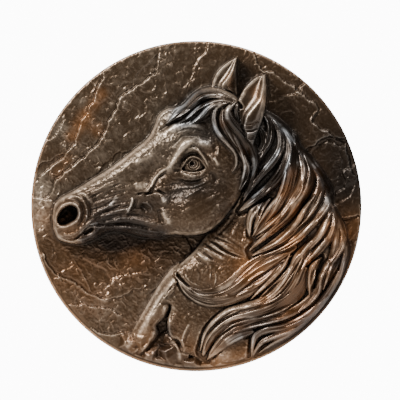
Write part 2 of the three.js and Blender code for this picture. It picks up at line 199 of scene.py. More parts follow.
# the broad masses, the same as the solid's
# each has two edges from end to end; it rounds over within "round" of them, as a curve of power "bow",
# and stands at the share "flank" of its height there; near a crisp place it rounds over in less
# levels: right, down, height; swells: right, down, size, height; crisp: right, down, size, rounding

masses = {
    "mane": {
        "edges": [
            [[232, 112], [252, 108], [268, 114], [284, 128], [298, 146], [312, 163], [323, 181],
             [331, 203], [341, 226], [347, 250], [343, 276], [332, 298], [313, 318], [289, 336],
             [262, 351], [236, 361], [214, 363]],
            [[214, 150], [226, 184], [222, 212], [208, 232], [196, 248], [184, 260], [174, 268],
             [163, 282], [157, 296], [160, 304], [170, 305.5], [167.5, 318], [167.5, 330], [171, 337],
             [178, 339.5], [181, 346], [181.5, 352], [190, 354.5], [197, 357.5], [204, 362]]],
        "round": 26, "flank": 0.3, "bow": 2.3,
        "crisp": [[176, 335, 26, 3], [172, 300, 14, 6], [200, 262, 22, 14]],
        "levels": [[240, 130, 26], [280, 170, 27], [262, 215, 25], [236, 228, 21], [312, 215, 25],
                   [300, 262, 24], [330, 262, 18], [215, 262, 18], [200, 285, 16], [190, 320, 12],
                   [222, 310, 14], [255, 300, 18], [290, 315, 14], [245, 340, 10], [195, 350, 8]],
        "swells": [[268, 190, 14, -6], [240, 222, 9, -3], [225, 275, 14, 3], [200, 275, 12, 3],
                   [190, 320, 14, 2]]},
    "head": {
        "edges": [
            [[53, 217], [55, 205], [61, 198], [72, 192], [90, 181], [112, 167], [134, 150], [148, 138],
             [154, 127], [159, 115], [168, 109], [182, 106], [196, 93], [211, 88], [228, 92], [242, 104],
             [248, 122]],
            [[54, 229], [58, 238], [67, 242], [82, 243], [97, 237], [110, 231], [126, 232], [142, 236],
             [158, 237], [172, 234], [190, 235], [206, 232], [219, 223], [230, 210], [240, 196],
             [247, 176], [250, 150]]],
        "round": 17, "flank": 0.5, "bow": 2.3,
        "levels": [[60, 205, 27], [68, 236, 26], [78, 215, 30], [100, 195, 31], [112, 224, 25],
                   [130, 170, 32], [140, 222, 26], [150, 190, 31], [165, 128, 27], [178, 150, 33],
                   [192, 162, 33], [196, 205, 38], [205, 130, 31], [228, 170, 32], [236, 120, 30]],
        "swells": [[70, 213, 13, 3.5], [96, 206, 11, -3], [70, 236, 8, 2], [118, 205, 12, -2],
                   [152, 170, 13, -4], [142, 208, 10, -3], [185, 146, 9, 4], [193, 165, 13, -4],
                   [193, 167, 7, 4], [178, 190, 11, -2.5], [200, 206, 20, 3], [218, 160, 10, 2.5],
                   [205, 125, 12, -2], [110, 178, 10, 2], [226, 190, 10, -2]]},
    "leg": {
        "edges": [
            [[179, 262], [170, 270], [163, 279], [155, 291], [147, 305], [140, 317], [133, 330],
             [128, 341]],
            [[186, 284], [173, 298], [169.5, 306], [165, 316], [157, 325], [158, 333], [152, 342],
             [146, 350], [138, 355]]],
        "round": 11, "flank": 0.3, "bow": 1.15,
        "crisp": [[163, 327, 12, 2.5], [170, 310, 9, 2.5], [156, 340, 9, 2.5], [148, 352, 9, 2.5],
                  [176, 296, 10, 4]],
        "levels": [[175, 280, 17], [150, 315, 14], [135, 345, 8]],
        "swells": []},
}
for mass in masses.values():
    mass["blend"] = 90  # square of the distance within which one level gives way to the next
    first, second = (smoothPath(edge, 120) for edge in mass["edges"])
    mass["loop"] = np.vstack([first, second[::-1]])

ears = {
    "farEar": {
        "front": [[212, 96], [212, 84], [217, 73], [225, 65], [236, 58]],
        "fold": [[224, 96], [222, 86], [227, 79], [232, 70], [236, 58]],
        "back": [[237, 100], [236, 88], [236, 78], [236, 68], [236.5, 58]],
        "heights": [14, 12, 16.5, 6]},   # front edge, hollow, fold, back edge
    "nearEar": {
        "front": [[239, 130], [236.5, 108], [240, 96.5], [247, 85.5], [256, 78], [262, 76]],
        "fold": [[243, 128], [246, 117], [253, 108], [258.5, 100], [261, 90], [262.5, 76]],
        "back": [[252, 146], [258, 130], [263.5, 112], [265.5, 92], [264.5, 76]],
        "heights": [33, 31, 37, 33]},
}
for ear in ears.values():
    ear["loop"] = np.vstack([smoothPath(ear["front"], 30), smoothPath(ear["back"], 30)[::-1]])

nostril = {"outline": [[57, 219.5], [59.6, 212], [64.8, 206.6], [71.5, 204.6], [77, 207],
                       [79.2, 213.5], [76.5, 220], [71, 223.5], [65.3, 226.2], [59.6, 225.2]],
           "floor": 12, "middle": (67, 215), "slope": 0.35}
nostril["loop"] = smoothPath(nostril["outline"], 40, closed=True)[:-1]

# Grid points close to an outline move onto it, so that every edge is drawn clean.
reach = np.full(right.shape, cell / 2)
shiftRight, shiftDown = np.zeros(right.shape), np.zeros(right.shape)
turns = np.linspace(0, 2 * math.pi, 721)[:-1]
circle = np.column_stack([np.cos(turns), np.sin(turns)])
circles = [circle * r + plaque["sheetCentre"] for r in (radius, radius - plaque["band"])]
outlines = [part["loop"] for part in [*masses.values(), *ears.values(), nostril]] + circles
for loop in outlines:
    ring = np.vstack([loop, loop[:1]])
    for i in range(0, len(ring) - 1, 6):
        part = ring[i:i + 7]
        w = window(part, 1)
        for a, b in zip(part, part[1:]):
            length = max(float(np.hypot(*(b - a))), 1e-9)
            ux, uy = (b - a) / length
            t = np.clip((right[w] - a[0]) * ux + (down[w] - a[1]) * uy, 0, length)
            dx, dy = a[0] + t * ux - right[w], a[1] + t * uy - down[w]
            gap = np.hypot(dx, dy)
            near = gap < reach[w]
            reach[w] = np.where(near, gap, reach[w])
            shiftRight[w] = np.where(near, dx, shiftRight[w])
            shiftDown[w] = np.where(near, dy, shiftDown[w])
right = right + shiftRight
down = down + shiftDown
fromCentre = np.hypot(right - plaque["sheetCentre"][0], down - plaque["sheetCentre"][1])


outlineSlack = -0.02  # points moved onto an outline count as inside it
nowhere = -1e3        # height outside a mass


def massHeight(mass, r, d):
    depth = depthInside(mass["loop"], r, d)
    reach = np.full(r.shape, float(mass["round"]))
    for x, y, size, tight in mass.get("crisp", []):
        reach += (tight - reach) * spot(r, d, x, y, size, 2)
    total, weights = np.zeros(r.shape), np.zeros(r.shape)
    for x, y, height in mass["levels"]:
        weight = 1 / ((r - x) ** 2 + (d - y) ** 2 + mass["blend"]) ** 1.5
        total += weight * height
        weights += weight
    level = total / weights
    for x, y, size, height in mass["swells"]:
        level += height * spot(r, d, x, y, size)
    inset = 1 - np.clip(depth / reach, 0, 1)
    bow = mass["bow"]
    roundness = (1 - inset**bow) ** (1 / bow)
    height = level * (mass["flank"] + (1 - mass["flank"]) * roundness)
    return np.where(depth > outlineSlack, height, nowhere), depth


print("surface laid out:", across, "by", across, "points")

height = np.zeros(right.shape)      # above the ground, in millimetres
layer = np.zeros(right.shape, int)  # which part of the casting shows at each point
layers = {"ground": 0, "neck": 1, "leg": 2, "head": 3, "mane": 4, "forelock": 5, "ears": 6}


def cover(w, over, top, key):
    # a form takes over the surface where it shows
    height[w] = np.where(over, top, height[w])
    layer[w] = np.where(over, layers[key], layer[w])


# ground: layered slabs with broken edges, raised scratches and pits

ground = {
    "unevenness": 0.5,
    "fineUnevenness": 0.35,
    "faces": 34,
    "scratches": 1000,
    "pitting": 0.16,
    # each broken edge: how far the slab to its left stands up, how fast it falls away, and its path
    "ledges": [
        (-1.7, 34, [[105, 66], [100, 85], [97, 92], [88, 110], [80, 125], [75, 140], [70, 150], [62, 158],
                    [50, 167], [33, 185]]),
        (-2.4, 24, [[160, 42], [157, 68], [150, 78], [135, 88], [122, 97], [118, 105], [110, 120],
                    [105, 130], [100, 140], [85, 155], [70, 168], [60, 177], [52, 190], [45, 200],
                    [40, 212]]),
        (1.6, 26, [[250, 45], [262, 70], [275, 75], [290, 85], [300, 95], [315, 105], [318, 112],
                   [312, 120], [330, 135], [348, 147]]),
        (1.8, 12, [[345, 143], [350, 165], [357, 184]]),
        (-2.2, 30, [[330, 205], [333, 210], [342, 220], [350, 218], [364, 215]]),
        (2.0, 26, [[42, 248], [50, 268], [60, 275], [75, 283], [85, 290], [100, 298], [112, 300]]),
        (-1.2, 14, [[103, 300], [120, 296], [135, 290], [150, 285]]),
        (1.2, 14, [[60, 302], [85, 305], [105, 308], [125, 315]]),
        (2.2, 18, [[88, 328], [110, 335], [122, 332], [130, 345]]),
        (1.2, 12, [[30, 150], [44, 142], [58, 132], [66, 118]]),
    ],
    # thin wandering lines: rise, size, seed, width, length of a stretch
    "wiggles": [(0.3, 11, 101, 0.65, 9), (0.22, 7, 111, 0.6, 6), (-0.45, 16, 121, 0.7, 12)],
    # thin raised marks left in the clay
    "markWidth": 0.75,
    "markRise": 0.75,
    "marks": [
        [[72.5, 257.5], [84, 276], [94, 296.5]],
        [[106.5, 250], [109, 263], [118, 270]],
        [[116, 250], [115.5, 261], [118.5, 269.5]],
        [[143, 247.5], [142, 253], [150, 259], [149, 264]],
        [[100, 292.5], [111, 284], [121.5, 274]],
        [[105, 322.5], [110, 317], [117.5, 310]],
        [[120, 270], [130, 275], [140, 273], [153, 274.5]],
        [[156, 80], [155, 89], [147, 92], [140, 90]],
        [[144, 100], [147, 108], [144, 115], [138, 119]],
        [[136, 108], [140, 114], [134, 120]],
        [[106, 101], [111, 104], [116, 104]],
        [[97, 156], [100, 162], [104, 167]],
        [[90, 80], [95, 86], [96, 92]],
        [[56, 124], [62, 130], [70, 142]],
        [[322, 146], [327, 142.5], [338, 146], [341, 150]],
        [[338, 152], [341, 158], [340, 166], [344, 174]],
    ],
    # stones at the foot: right, down, size, rise
    "rocks": [[127, 344, 9, 9], [134, 350, 8, 6], [167, 352, 17, 9], [150, 357, 12, 8], [160, 362, 12, 8],
              [192, 365, 14, 9], [177, 366, 11, 8], [172, 342, 9, 6], [206, 367, 10, 8], [138, 359, 9, 6],
              [219, 366, 9, 7], [236, 365, 10, 6], [212, 357, 8, 8], [220, 352, 9, 10], [227, 356, 9, 8],
              [218, 360, 8, 6], [234, 356, 9, 6], [242, 354, 8, 6]],
    # thin flaps of clay: width, rise, path
    "flaps": [(5, 8, [[171, 340], [176, 345], [179, 352], [179.5, 360]]),
              (7, 9, [[207, 358], [213, 352], [220, 347], [230, 341], [244, 334]])],
}


breaks = 1.5 * grain(7, 41) + 0.9 * grain(3.1, 42) + 0.4 * grain(1.4, 43)  # how a slab's edge wanders


def addLedge(rise, fade, points):
    w, gap, share, side = stroke(points, fade * 2.2)
    across = side * gap * math.copysign(1, rise) + breaks[w]
    ends = smoothStep(0, 0.12, np.minimum(share, 1 - share))
    upper = np.exp(-np.abs(across) / fade) * smoothStep(-0.5, 0.5, across)
    lip = 0.3 * np.exp(-((across - 0.8) / 0.9) ** 2)
    foot = -0.4 * np.exp(-((across + 0.8) / 1.1) ** 2)
    height[w] += abs(rise) * ends * (upper + lip + foot)


def addScratch(x, y, turn, length, rise, width):
    # a short raised wiggle, as a modelling tool leaves in clay
    t = np.linspace(-0.5, 0.5, 9)
    bend = random.normal(0, 2.6)
    heading = turn + bend * t + random.normal(0, 0.5, 9)
    step = length / 8
    walk = np.column_stack([np.cumsum(np.cos(heading)), np.cumsum(np.sin(heading))])
    path = np.array([x, y]) + walk * step
    w = window(path, 2.5)
    gap, share, side = alongPath(path, right[w], down[w])
    height[w] += rise * np.exp(-((gap / width) ** 2)) * (4 * share * (1 - share)) ** 0.5


height += ground["unevenness"] * roughGrain(26, 11) + ground["fineUnevenness"] * roughGrain(7, 21)

# broken faces: each point belongs to the nearest of a few centres and takes its slope
nearest = np.full(right.shape, 1e9)
facet = np.zeros(right.shape)
warpR, warpD = right + 6 * roughGrain(15, 81), down + 6 * roughGrain(15, 91)
for i in range(ground["faces"]):
    fx, fy = random.uniform(30, 365), random.uniform(40, 372)
    turn, slope, level = random.uniform(0, 6.3), random.uniform(0.005, 0.035), random.normal(0, 0.35)
    away = (warpR - fx) ** 2 + 2.2 * ((warpR - fx) * 0.55 + (warpD - fy) * 0.84) ** 2
    plane = level + slope * ((right - fx) * math.cos(turn) + (down - fy) * math.sin(turn))
    facet = np.where(away < nearest, plane, facet)
    nearest = np.minimum(nearest, away)
height += blur(facet, 0.5)


def wiggles(size, seed, width, patch):
    # thin wandering lines, broken into stretches
    field = grain(size, seed) + 0.35 * grain(size * 0.4, seed + 1)
    slopes = np.hypot(*np.gradient(field, cell)) + 0.01
    usual = float(np.median(slopes))
    steep = smoothStep(0.5 * usual, 0.9 * usual, slopes)  # no blot where the field is level
    return np.exp(-((field / slopes / width) ** 2)) * steep * smoothStep(0.0, 0.4, grain(patch, seed + 2))


height += sum(rise * wiggles(*line) for rise, *line in ground["wiggles"])
for ledge in ground["ledges"]:
    addLedge(*ledge)
for mark in ground["marks"]:
    w, gap, share, side = stroke(mark, 3)
    gap = (side * gap + 0.4 * breaks[w]) / ground["markWidth"]
    height[w] += ground["markRise"] * np.exp(-(gap**2)) * (4 * share * (1 - share)) ** 0.5
for i in range(ground["scratches"]):
    reachOut = radius * math.sqrt(random.uniform(0, 1))
    at = random.uniform(0, 2 * math.pi)
    px = plaque["sheetCentre"][0] + reachOut * math.cos(at)
    py = plaque["sheetCentre"][1] + reachOut * math.sin(at)
    addScratch(px, py, random.normal(-0.9, 0.8), random.uniform(5, 15),
               random.uniform(0.3, 0.75), random.uniform(0.42, 0.55))
height += ground["pitting"] * grain(1.3, 31)
print("ground cut")

# the masses stand on the ground

bare = {}  # each mass without hair or skin detail
for name, key in (("leg", "leg"), ("mane", "neck"), ("head", "head")):
    mass = masses[name]
    w = window(mass["loop"], 2)
    rise, depth = massHeight(mass, right[w], down[w])
    bare[name] = np.full(right.shape, nowhere)
    bare[name][w] = rise
    over = rise > height[w] if name != "head" else depth > outlineSlack
    cover(w, over, rise, key)
body = np.maximum(np.maximum(bare["leg"], bare["mane"]), np.maximum(bare["head"], 0))
body = blur(body, 1.2)
print("masses raised")


def addRock(x, y, size, rise):
    # a stone with a few flat faces
    w = window([[x, y]], size * 1.4)
    r, d = right[w] - x, down[w] - y
    top = np.full(r.shape, float(rise))
    turn = random.uniform(0, 6.3)
    for k in range(6):
        a = turn + k * 1.05 + random.uniform(-0.4, 0.4)
        slope = random.uniform(0.35, 1.3)
        outwards = r * math.cos(a) + d * math.sin(a) * 1.2
        top = np.minimum(top, rise - slope * (outwards - size * random.uniform(0.1, 0.45)))
    top += 0.35 * grain(2.2, 71)[w]
    over = (top > height[w]) & (np.hypot(r, d) < size * 1.3)
    height[w] = np.where(over, top, height[w])


for rock in ground["rocks"]:
    addRock(*rock)
for width, rise, points in ground["flaps"]:
    w, gap, share, side = stroke(points, width)
    crown = rise * (1 - (gap / width * 2) ** 2) * smoothStep(0, 0.3, share) * smoothStep(0, 0.3, 1 - share)
    height[w] = np.maximum(height[w], crown + 0.5 * grain(2.2, 75)[w])

# skin: ridges, folds, veins and grooves, added softly
# each is a width, a rise and a path; a groove's rise is below nought

skin = {
    "nose": [
        (19, 2.2, [[76, 193], [100, 180], [122, 168], [142, 154], [163, 139], [186, 130], [200, 128]]),
        (2.2, -0.9, [[72, 196], [84, 190], [98, 186], [104, 183]]),
        (2.6, 0.8, [[80, 198], [92, 192], [106, 186]]),
        (4, 1.0, [[131, 163], [138, 162], [147, 159], [156, 151]]),
    ],
    "nostril": [
        (2.2, 2.2, [[58, 225], [55.5, 218], [58, 211], [64, 204.5], [71, 202.5], [77.5, 205], [80.5, 212],
                    [79, 219], [73, 224], [65, 227], [58, 225]]),
        (2.2, -1.8, [[64, 200], [73, 199], [81, 203], [84.5, 212], [82, 221], [76, 227]]),
        (2.6, 1.5, [[66, 197], [76, 196], [84, 201], [88, 211], [86, 221], [81, 228]]),
        (2.0, -1.3, [[74, 193], [84, 197], [91, 205], [92, 215], [89, 222]]),
        (2.6, 1.0, [[78, 191], [88, 196], [95, 205], [97, 214]]),
        (2.0, -0.8, [[84, 190], [93, 195], [99, 204]]),
    ],
    "mouth": [
        (1.8, -2.4, [[60, 236], [68, 240], [76, 238.5], [82, 234], [88, 227.5], [94, 224.5], [101, 222]]),
        (4.2, -5, [[83, 234], [89, 230.5], [95, 227]]),
        (3.4, 1.4, [[60, 231], [68, 235], [76, 233], [83, 227], [90, 222.5], [98, 219]]),
        (4.6, 2.2, [[70, 242], [80, 240.5], [90, 237], [98, 230], [104, 225]]),
        (2.4, 1.6, [[97, 222], [98.5, 224]]),
        (2.8, 1.5, [[88, 219], [98, 212], [110, 205], [119, 196]]),
        (2.2, -1.2, [[92, 222], [102, 214], [114, 208], [128, 202]]),
        (2.4, 1.0, [[98, 221], [110, 214], [124, 209], [134, 206]]),
        (2.2, -1.0, [[100, 224], [114, 218], [128, 215]]),
        (3, -1.0, [[100, 200], [108, 193], [116, 189]]),
        (2.4, -1.0, [[104, 208], [112, 201], [122, 197], [132, 195]]),
        (2, 0.9, [[86, 226], [94, 219], [104, 212]]),
    ],
    "cheek": [
        (3.6, 3.0, [[172, 166], [162, 171], [155, 179], [151, 187], [144, 193], [136, 196]]),
        (4.5, -1.6, [[170, 170], [158, 178], [152, 190], [143, 197]]),
        (2.2, -1.7, [[134, 195], [150, 193], [158, 191], [166, 194], [172, 195]]),
        (3.4, 2.0, [[135, 197], [132, 204], [128, 212], [122, 216]]),
        (2.4, -1.0, [[138, 198], [135, 206], [131, 213]]),
        (4, 1.5, [[150, 192], [159, 195], [165, 203]]),
        (5.5, 3.0, [[163, 198.5], [165, 201.5]]),
        (2.2, -2.2, [[136, 194.5], [143, 193], [150, 193.5]]),
        (1.8, -1.8, [[156, 189.5], [163, 193.5], [167, 196]]),
        (4.4, -2.4, [[142, 206.5], [146, 209.5]]),
        (2.6, 1.1, [[140, 202], [147, 203], [152, 208], [150, 213]]),
        (6, 1.2, [[139, 186], [145, 186]]),
        (2.6, 1.8, [[133, 196], [131.5, 204], [127.5, 212]]),
        (6, 2.6, [[162, 206], [164, 214], [169, 222], [172, 228]]),
        (4, -1.3, [[158, 207], [160, 216], [164, 224]]),
        (4, 1.0, [[135, 212], [148, 210], [158, 213]]),
        (2.6, -1.2, [[160, 187], [176, 184], [192, 183], [210, 176]]),
        (3.2, 0.9, [[164, 192], [180, 188], [196, 186], [214, 178]]),
        (3.0, -1.0, [[170, 178], [182, 181], [196, 181], [208, 176]]),
        (2.6, 0.8, [[175, 216], [190, 208], [206, 200], [226, 190]]),
        (2.4, 0.7, [[180, 201], [192, 193], [206, 186]]),
        (2.4, -0.6, [[186, 222], [200, 214], [216, 204], [230, 196]]),
    ],
    "jaw": [
        (5, 2.0, [[104, 222], [122, 219], [146, 222], [170, 227]]),
        (2, -1.2, [[106, 226], [126, 224], [146, 227], [164, 231]]),
        (3, 1.2, [[110, 229], [130, 228], [150, 231], [168, 233]]),
        (2.2, -1.2, [[112, 215], [128, 214], [146, 217], [160, 221]]),
        (2.2, 0.9, [[118, 211], [132, 209], [144, 211]]),
    ],
    "brow": [
        (8, 5.5, [[164, 174], [172, 163.5], [178.5, 153], [184, 146], [190, 142.5], [199, 142]]),
        (6, 1.6, [[197, 142], [206, 145], [213, 151]]),
        (2.8, 2.4, [[187, 149.5], [193, 149], [198, 150.5], [202, 156], [206, 163], [209.5, 169]]),
        (2.0, -1.2, [[201, 151], [206, 157], [210, 164]]),
        (2.8, 1.8, [[207, 153.5], [211, 158], [213, 164]]),
        (2.2, 2.2, [[212.5, 157.5], [215.5, 161], [218, 166.5]]),
        (2.4, 1.4, [[218, 146], [217.5, 152], [216, 157]]),
        (4, -1.8, [[184, 138], [193, 136], [204, 138], [212, 143]]),
        (5, -1.4, [[170, 148], [178, 142], [186, 135], [196, 130]]),
        (5, 2.4, [[156, 125], [159, 117], [166, 111], [174, 110]]),
        (5, -2.6, [[157, 134], [165, 128], [174, 122], [184, 119]]),
        (7, 2.2, [[163, 135], [174, 128], [188, 125], [202, 127], [212, 133]]),
        (2.4, -1.1, [[176, 133], [188, 129], [200, 131], [209, 138]]),
        (5, -2.0, [[208, 172], [214, 176], [217, 184]]),
    ],
    "lids": [
        (1.9, 2.0, [[182, 167], [186, 161], [190, 157.6], [195, 157.3], [200, 159.6], [204.5, 165],
                    [207, 170]]),
        (2.6, -2.0, [[178, 168], [181, 162], [186, 156], [192, 153.5], [198, 155.5], [204, 162],
                     [207, 168]]),
        (2.2, 1.2, [[180, 171.5], [186, 175.2], [194, 176.4], [201, 174.5], [206, 170.5]]),
        (3.2, 0.5, [[179, 173.5], [185, 177.6], [192, 179], [200, 178.5], [206, 175]]),
        (3, -1.8, [[176, 177], [184, 182], [194, 183], [206, 179]]),
        (2.4, -1.6, [[175, 171], [180, 170.5]]),
    ],
    "throat": [
        (2.8, -1.0, [[215, 231], [226, 237], [240, 246], [248, 251]]),
        (2.2, -1.6, [[212.5, 235], [220, 239.5], [226, 242], [233, 245]]),
        (2.8, 1.3, [[210, 237], [218, 242], [226, 246.5], [236, 251]]),
        (2.3, -2.6, [[206, 238], [216, 244.5], [225, 251], [235, 255.5], [247, 258.5]]),
        (2.6, 1.4, [[205, 240.5], [213, 246.5], [222, 252], [232, 256]]),
        (2.0, -1.8, [[203, 242], [211, 248], [220, 253.5], [228, 256.5]]),
        (3.2, 1.5, [[199, 245], [208, 250], [217, 256], [228, 260]]),
        (2.2, -1.8, [[195, 247], [204, 253], [211, 258], [217, 262]]),
        (3.4, 1.8, [[193, 250], [201, 255.5], [208, 260.5], [216, 264]]),
        (1.8, -0.9, [[203, 259], [212.5, 262.5], [224, 266.5]]),
        (2.2, -1.0, [[192, 256], [201, 261], [210, 269], [212, 280]]),
        (1.6, 1.1, [[209, 264], [210.5, 272], [209, 280]]),
        (1.6, 1.0, [[214, 270], [215.5, 278], [213, 287]]),
        (1.8, -0.7, [[196, 266], [200, 274], [198, 282]]),
        (2.0, 0.7, [[183, 272], [190, 281], [201, 286]]),
        (3, -1.4, [[240, 205], [228, 224], [212, 240]]),
        (3, 0.9, [[243, 210], [236, 226], [228, 240]]),
        (3, -0.9, [[247, 216], [243, 230], [240, 244]]),
    ],
    "chest": [
        (5, 1.6, [[175, 274], [167, 287], [157, 301], [148, 316], [141, 329], [136, 339]]),
        (2.2, -1.5, [[166, 291], [161, 299], [157, 307]]),
        (2.4, 1.4, [[170, 285], [165, 294], [162, 301]]),
        (3.4, -3.0, [[171, 272], [176, 277], [183, 283], [189, 290]]),
        (3, 1.6, [[176, 280], [184, 289], [194, 297], [206, 301]]),
        (3, 1.2, [[150, 336], [148, 343], [143, 349]]),
        (2.2, 1.6, [[176, 284], [168, 292], [163, 301]]),
        (2, -1.4, [[172, 286], [164, 296]]),
        (2.4, 1.5, [[171, 306], [168, 320], [169, 332], [176, 339], [183, 341], [182, 352]]),
        (1.8, 1.2, [[190, 321], [185, 330], [182, 340], [182, 350]]),
        (1.8, -0.8, [[192, 324], [187, 334], [184, 344]]),
        (3, 1.4, [[134, 334], [142, 337], [150, 333]]),
    ],
}


def addRidge(width, rise, points):
    w, gap, share, side = stroke(points, width * 1.6)
    taper = smoothStep(0, 0.25, share) * smoothStep(0, 0.3, 1 - share)
    if len(points) <= 2:
        taper = 1
    size = width / 2 * (0.55 + 0.45 * taper)
    carved = layer[w] > layers["ground"]
    height[w] += np.where(carved, rise * taper * np.exp(-((gap / size) ** 2)), 0)


for group in skin.values():
    for ridge in group:
        addRidge(*ridge)

# fine creases fan out from the nostril and the mouth's corner over the muzzle
creases = {"count": 22, "from": [(86, 229), (84, 196)], "to": [(146, 229), (128, 176)], "rise": 0.75}
for k in range(creases["count"]):
    t = k / (creases["count"] - 1)
    ends = [np.array(creases[key]) for key in ("from", "to")]
    start, end = (one[0] * (1 - t) + one[1] * t for one in ends)
    start = start + random.normal(0, 1.5, 2)
    end = end + random.normal(0, 4, 2)
    middle = start * 0.5 + end * 0.5 + np.array([0, random.uniform(-3, 1)])
    points = [start, start * 0.7 + middle * 0.3 + random.normal(0, 0.6, 2), middle, end]
    addRidge(random.uniform(1.8, 2.6), creases["rise"] * random.choice([-1.2, 0.8]), points)

# modelling clay's own roughness on skin: small lumps, and short marks that run along the forms
skinMask = blur((layer > layers["ground"]).astype(float), 0.6) ** 2
height += skinMask * (0.24 * grain(2.3, 51) + 0.2 * grain(1.2, 52) + 0.3 * grain(6, 53) * grain(3, 54))
skinMarks = {"count": 420, "rise": 0.32, "wiggles": [(0.22, 6, 131, 0.5, 7), (-0.32, 5, 141, 0.5, 6)]}
height += skinMask * sum(rise * wiggles(*line) for rise, *line in skinMarks["wiggles"])
for i in range(skinMarks["count"]):
    px, py = random.uniform(52, 250), random.uniform(105, 350)
    column, row = int((px - corner[0]) / cell), int((py - corner[1]) / cell)
    if layer[row, column] > layers["ground"]:
        addScratch(px, py, random.normal(-0.55, 0.45), random.uniform(3, 10),
                   skinMarks["rise"] * random.choice([-1.3, -0.7, 0.6, 1.1]), random.uniform(0.5, 0.9))

# the eye: a ball between the lids, with a ringed iris and a drilled pupil
eye = {
    "centre": (193.2, 164.2), "ball": 11, "sunk": 1.2,
    "pupil": (191.8, 163.8, 1.8), "glint": (193.6, 162.6, 1.1),
    "rings": [(4.1, 1.3, 0.65), (3.0, -1.0, 0.7), (6.2, 0.8, 0.7), (5.2, -0.9, 0.6)],
    "opening": [[181.5, 169.6], [185, 164], [189, 160.3], [194, 159], [199, 160.8], [202.8, 164.8],
                [205, 168.4], [200, 171.2], [194, 172.4], [187, 172]],
}
opening = smoothPath(eye["opening"], 48, closed=True)[:-1]
w = window(opening, 3)
depth = depthInside(opening, right[w], down[w])
away = np.hypot(right[w] - eye["centre"][0], down[w] - eye["centre"][1])
column, row = (int((eye["centre"][k] - corner[k]) / cell) for k in (0, 1))
lidTop = float(height[row, column])
ball = lidTop - eye["sunk"] - 4.5 * (1 - np.sqrt(np.clip(1 - (away / eye["ball"]) ** 2, 0, 1)))
for ring, rise, size in eye["rings"]:
    ball += rise * np.exp(-(((away - ring) / size) ** 2))
for (ex, ey, size), rise in ((eye["pupil"], -3.4), (eye["glint"], 1.4)):
    ball += rise * spot(right[w], down[w], ex, ey, size, 1.5)
edge = smoothStep(0, 0.9, depth)
ball -= 1.4 * (1 - smoothStep(0.3, 2.0, depth))  # the ball turns in under the lids
height[w] = np.where(depth > 0, height[w] * (1 - edge) + ball * edge, height[w])

# the nostril, cut deep
w = window(nostril["loop"], 2)
depth = depthInside(nostril["loop"], right[w], down[w])
hole = smoothStep(-0.2, 2.4, depth)
tilt = (down[w] - nostril["middle"][1]) - 0.6 * (right[w] - nostril["middle"][0])
floor = nostril["floor"] + nostril["slope"] * tilt + 0.8 * grain(3, 61)[w]
height[w] = np.where(depth > -0.2, height[w] * (1 - hole) + floor * hole, height[w])
print("head and skin carved")

# hair: locks laid one over another, each with its own strands

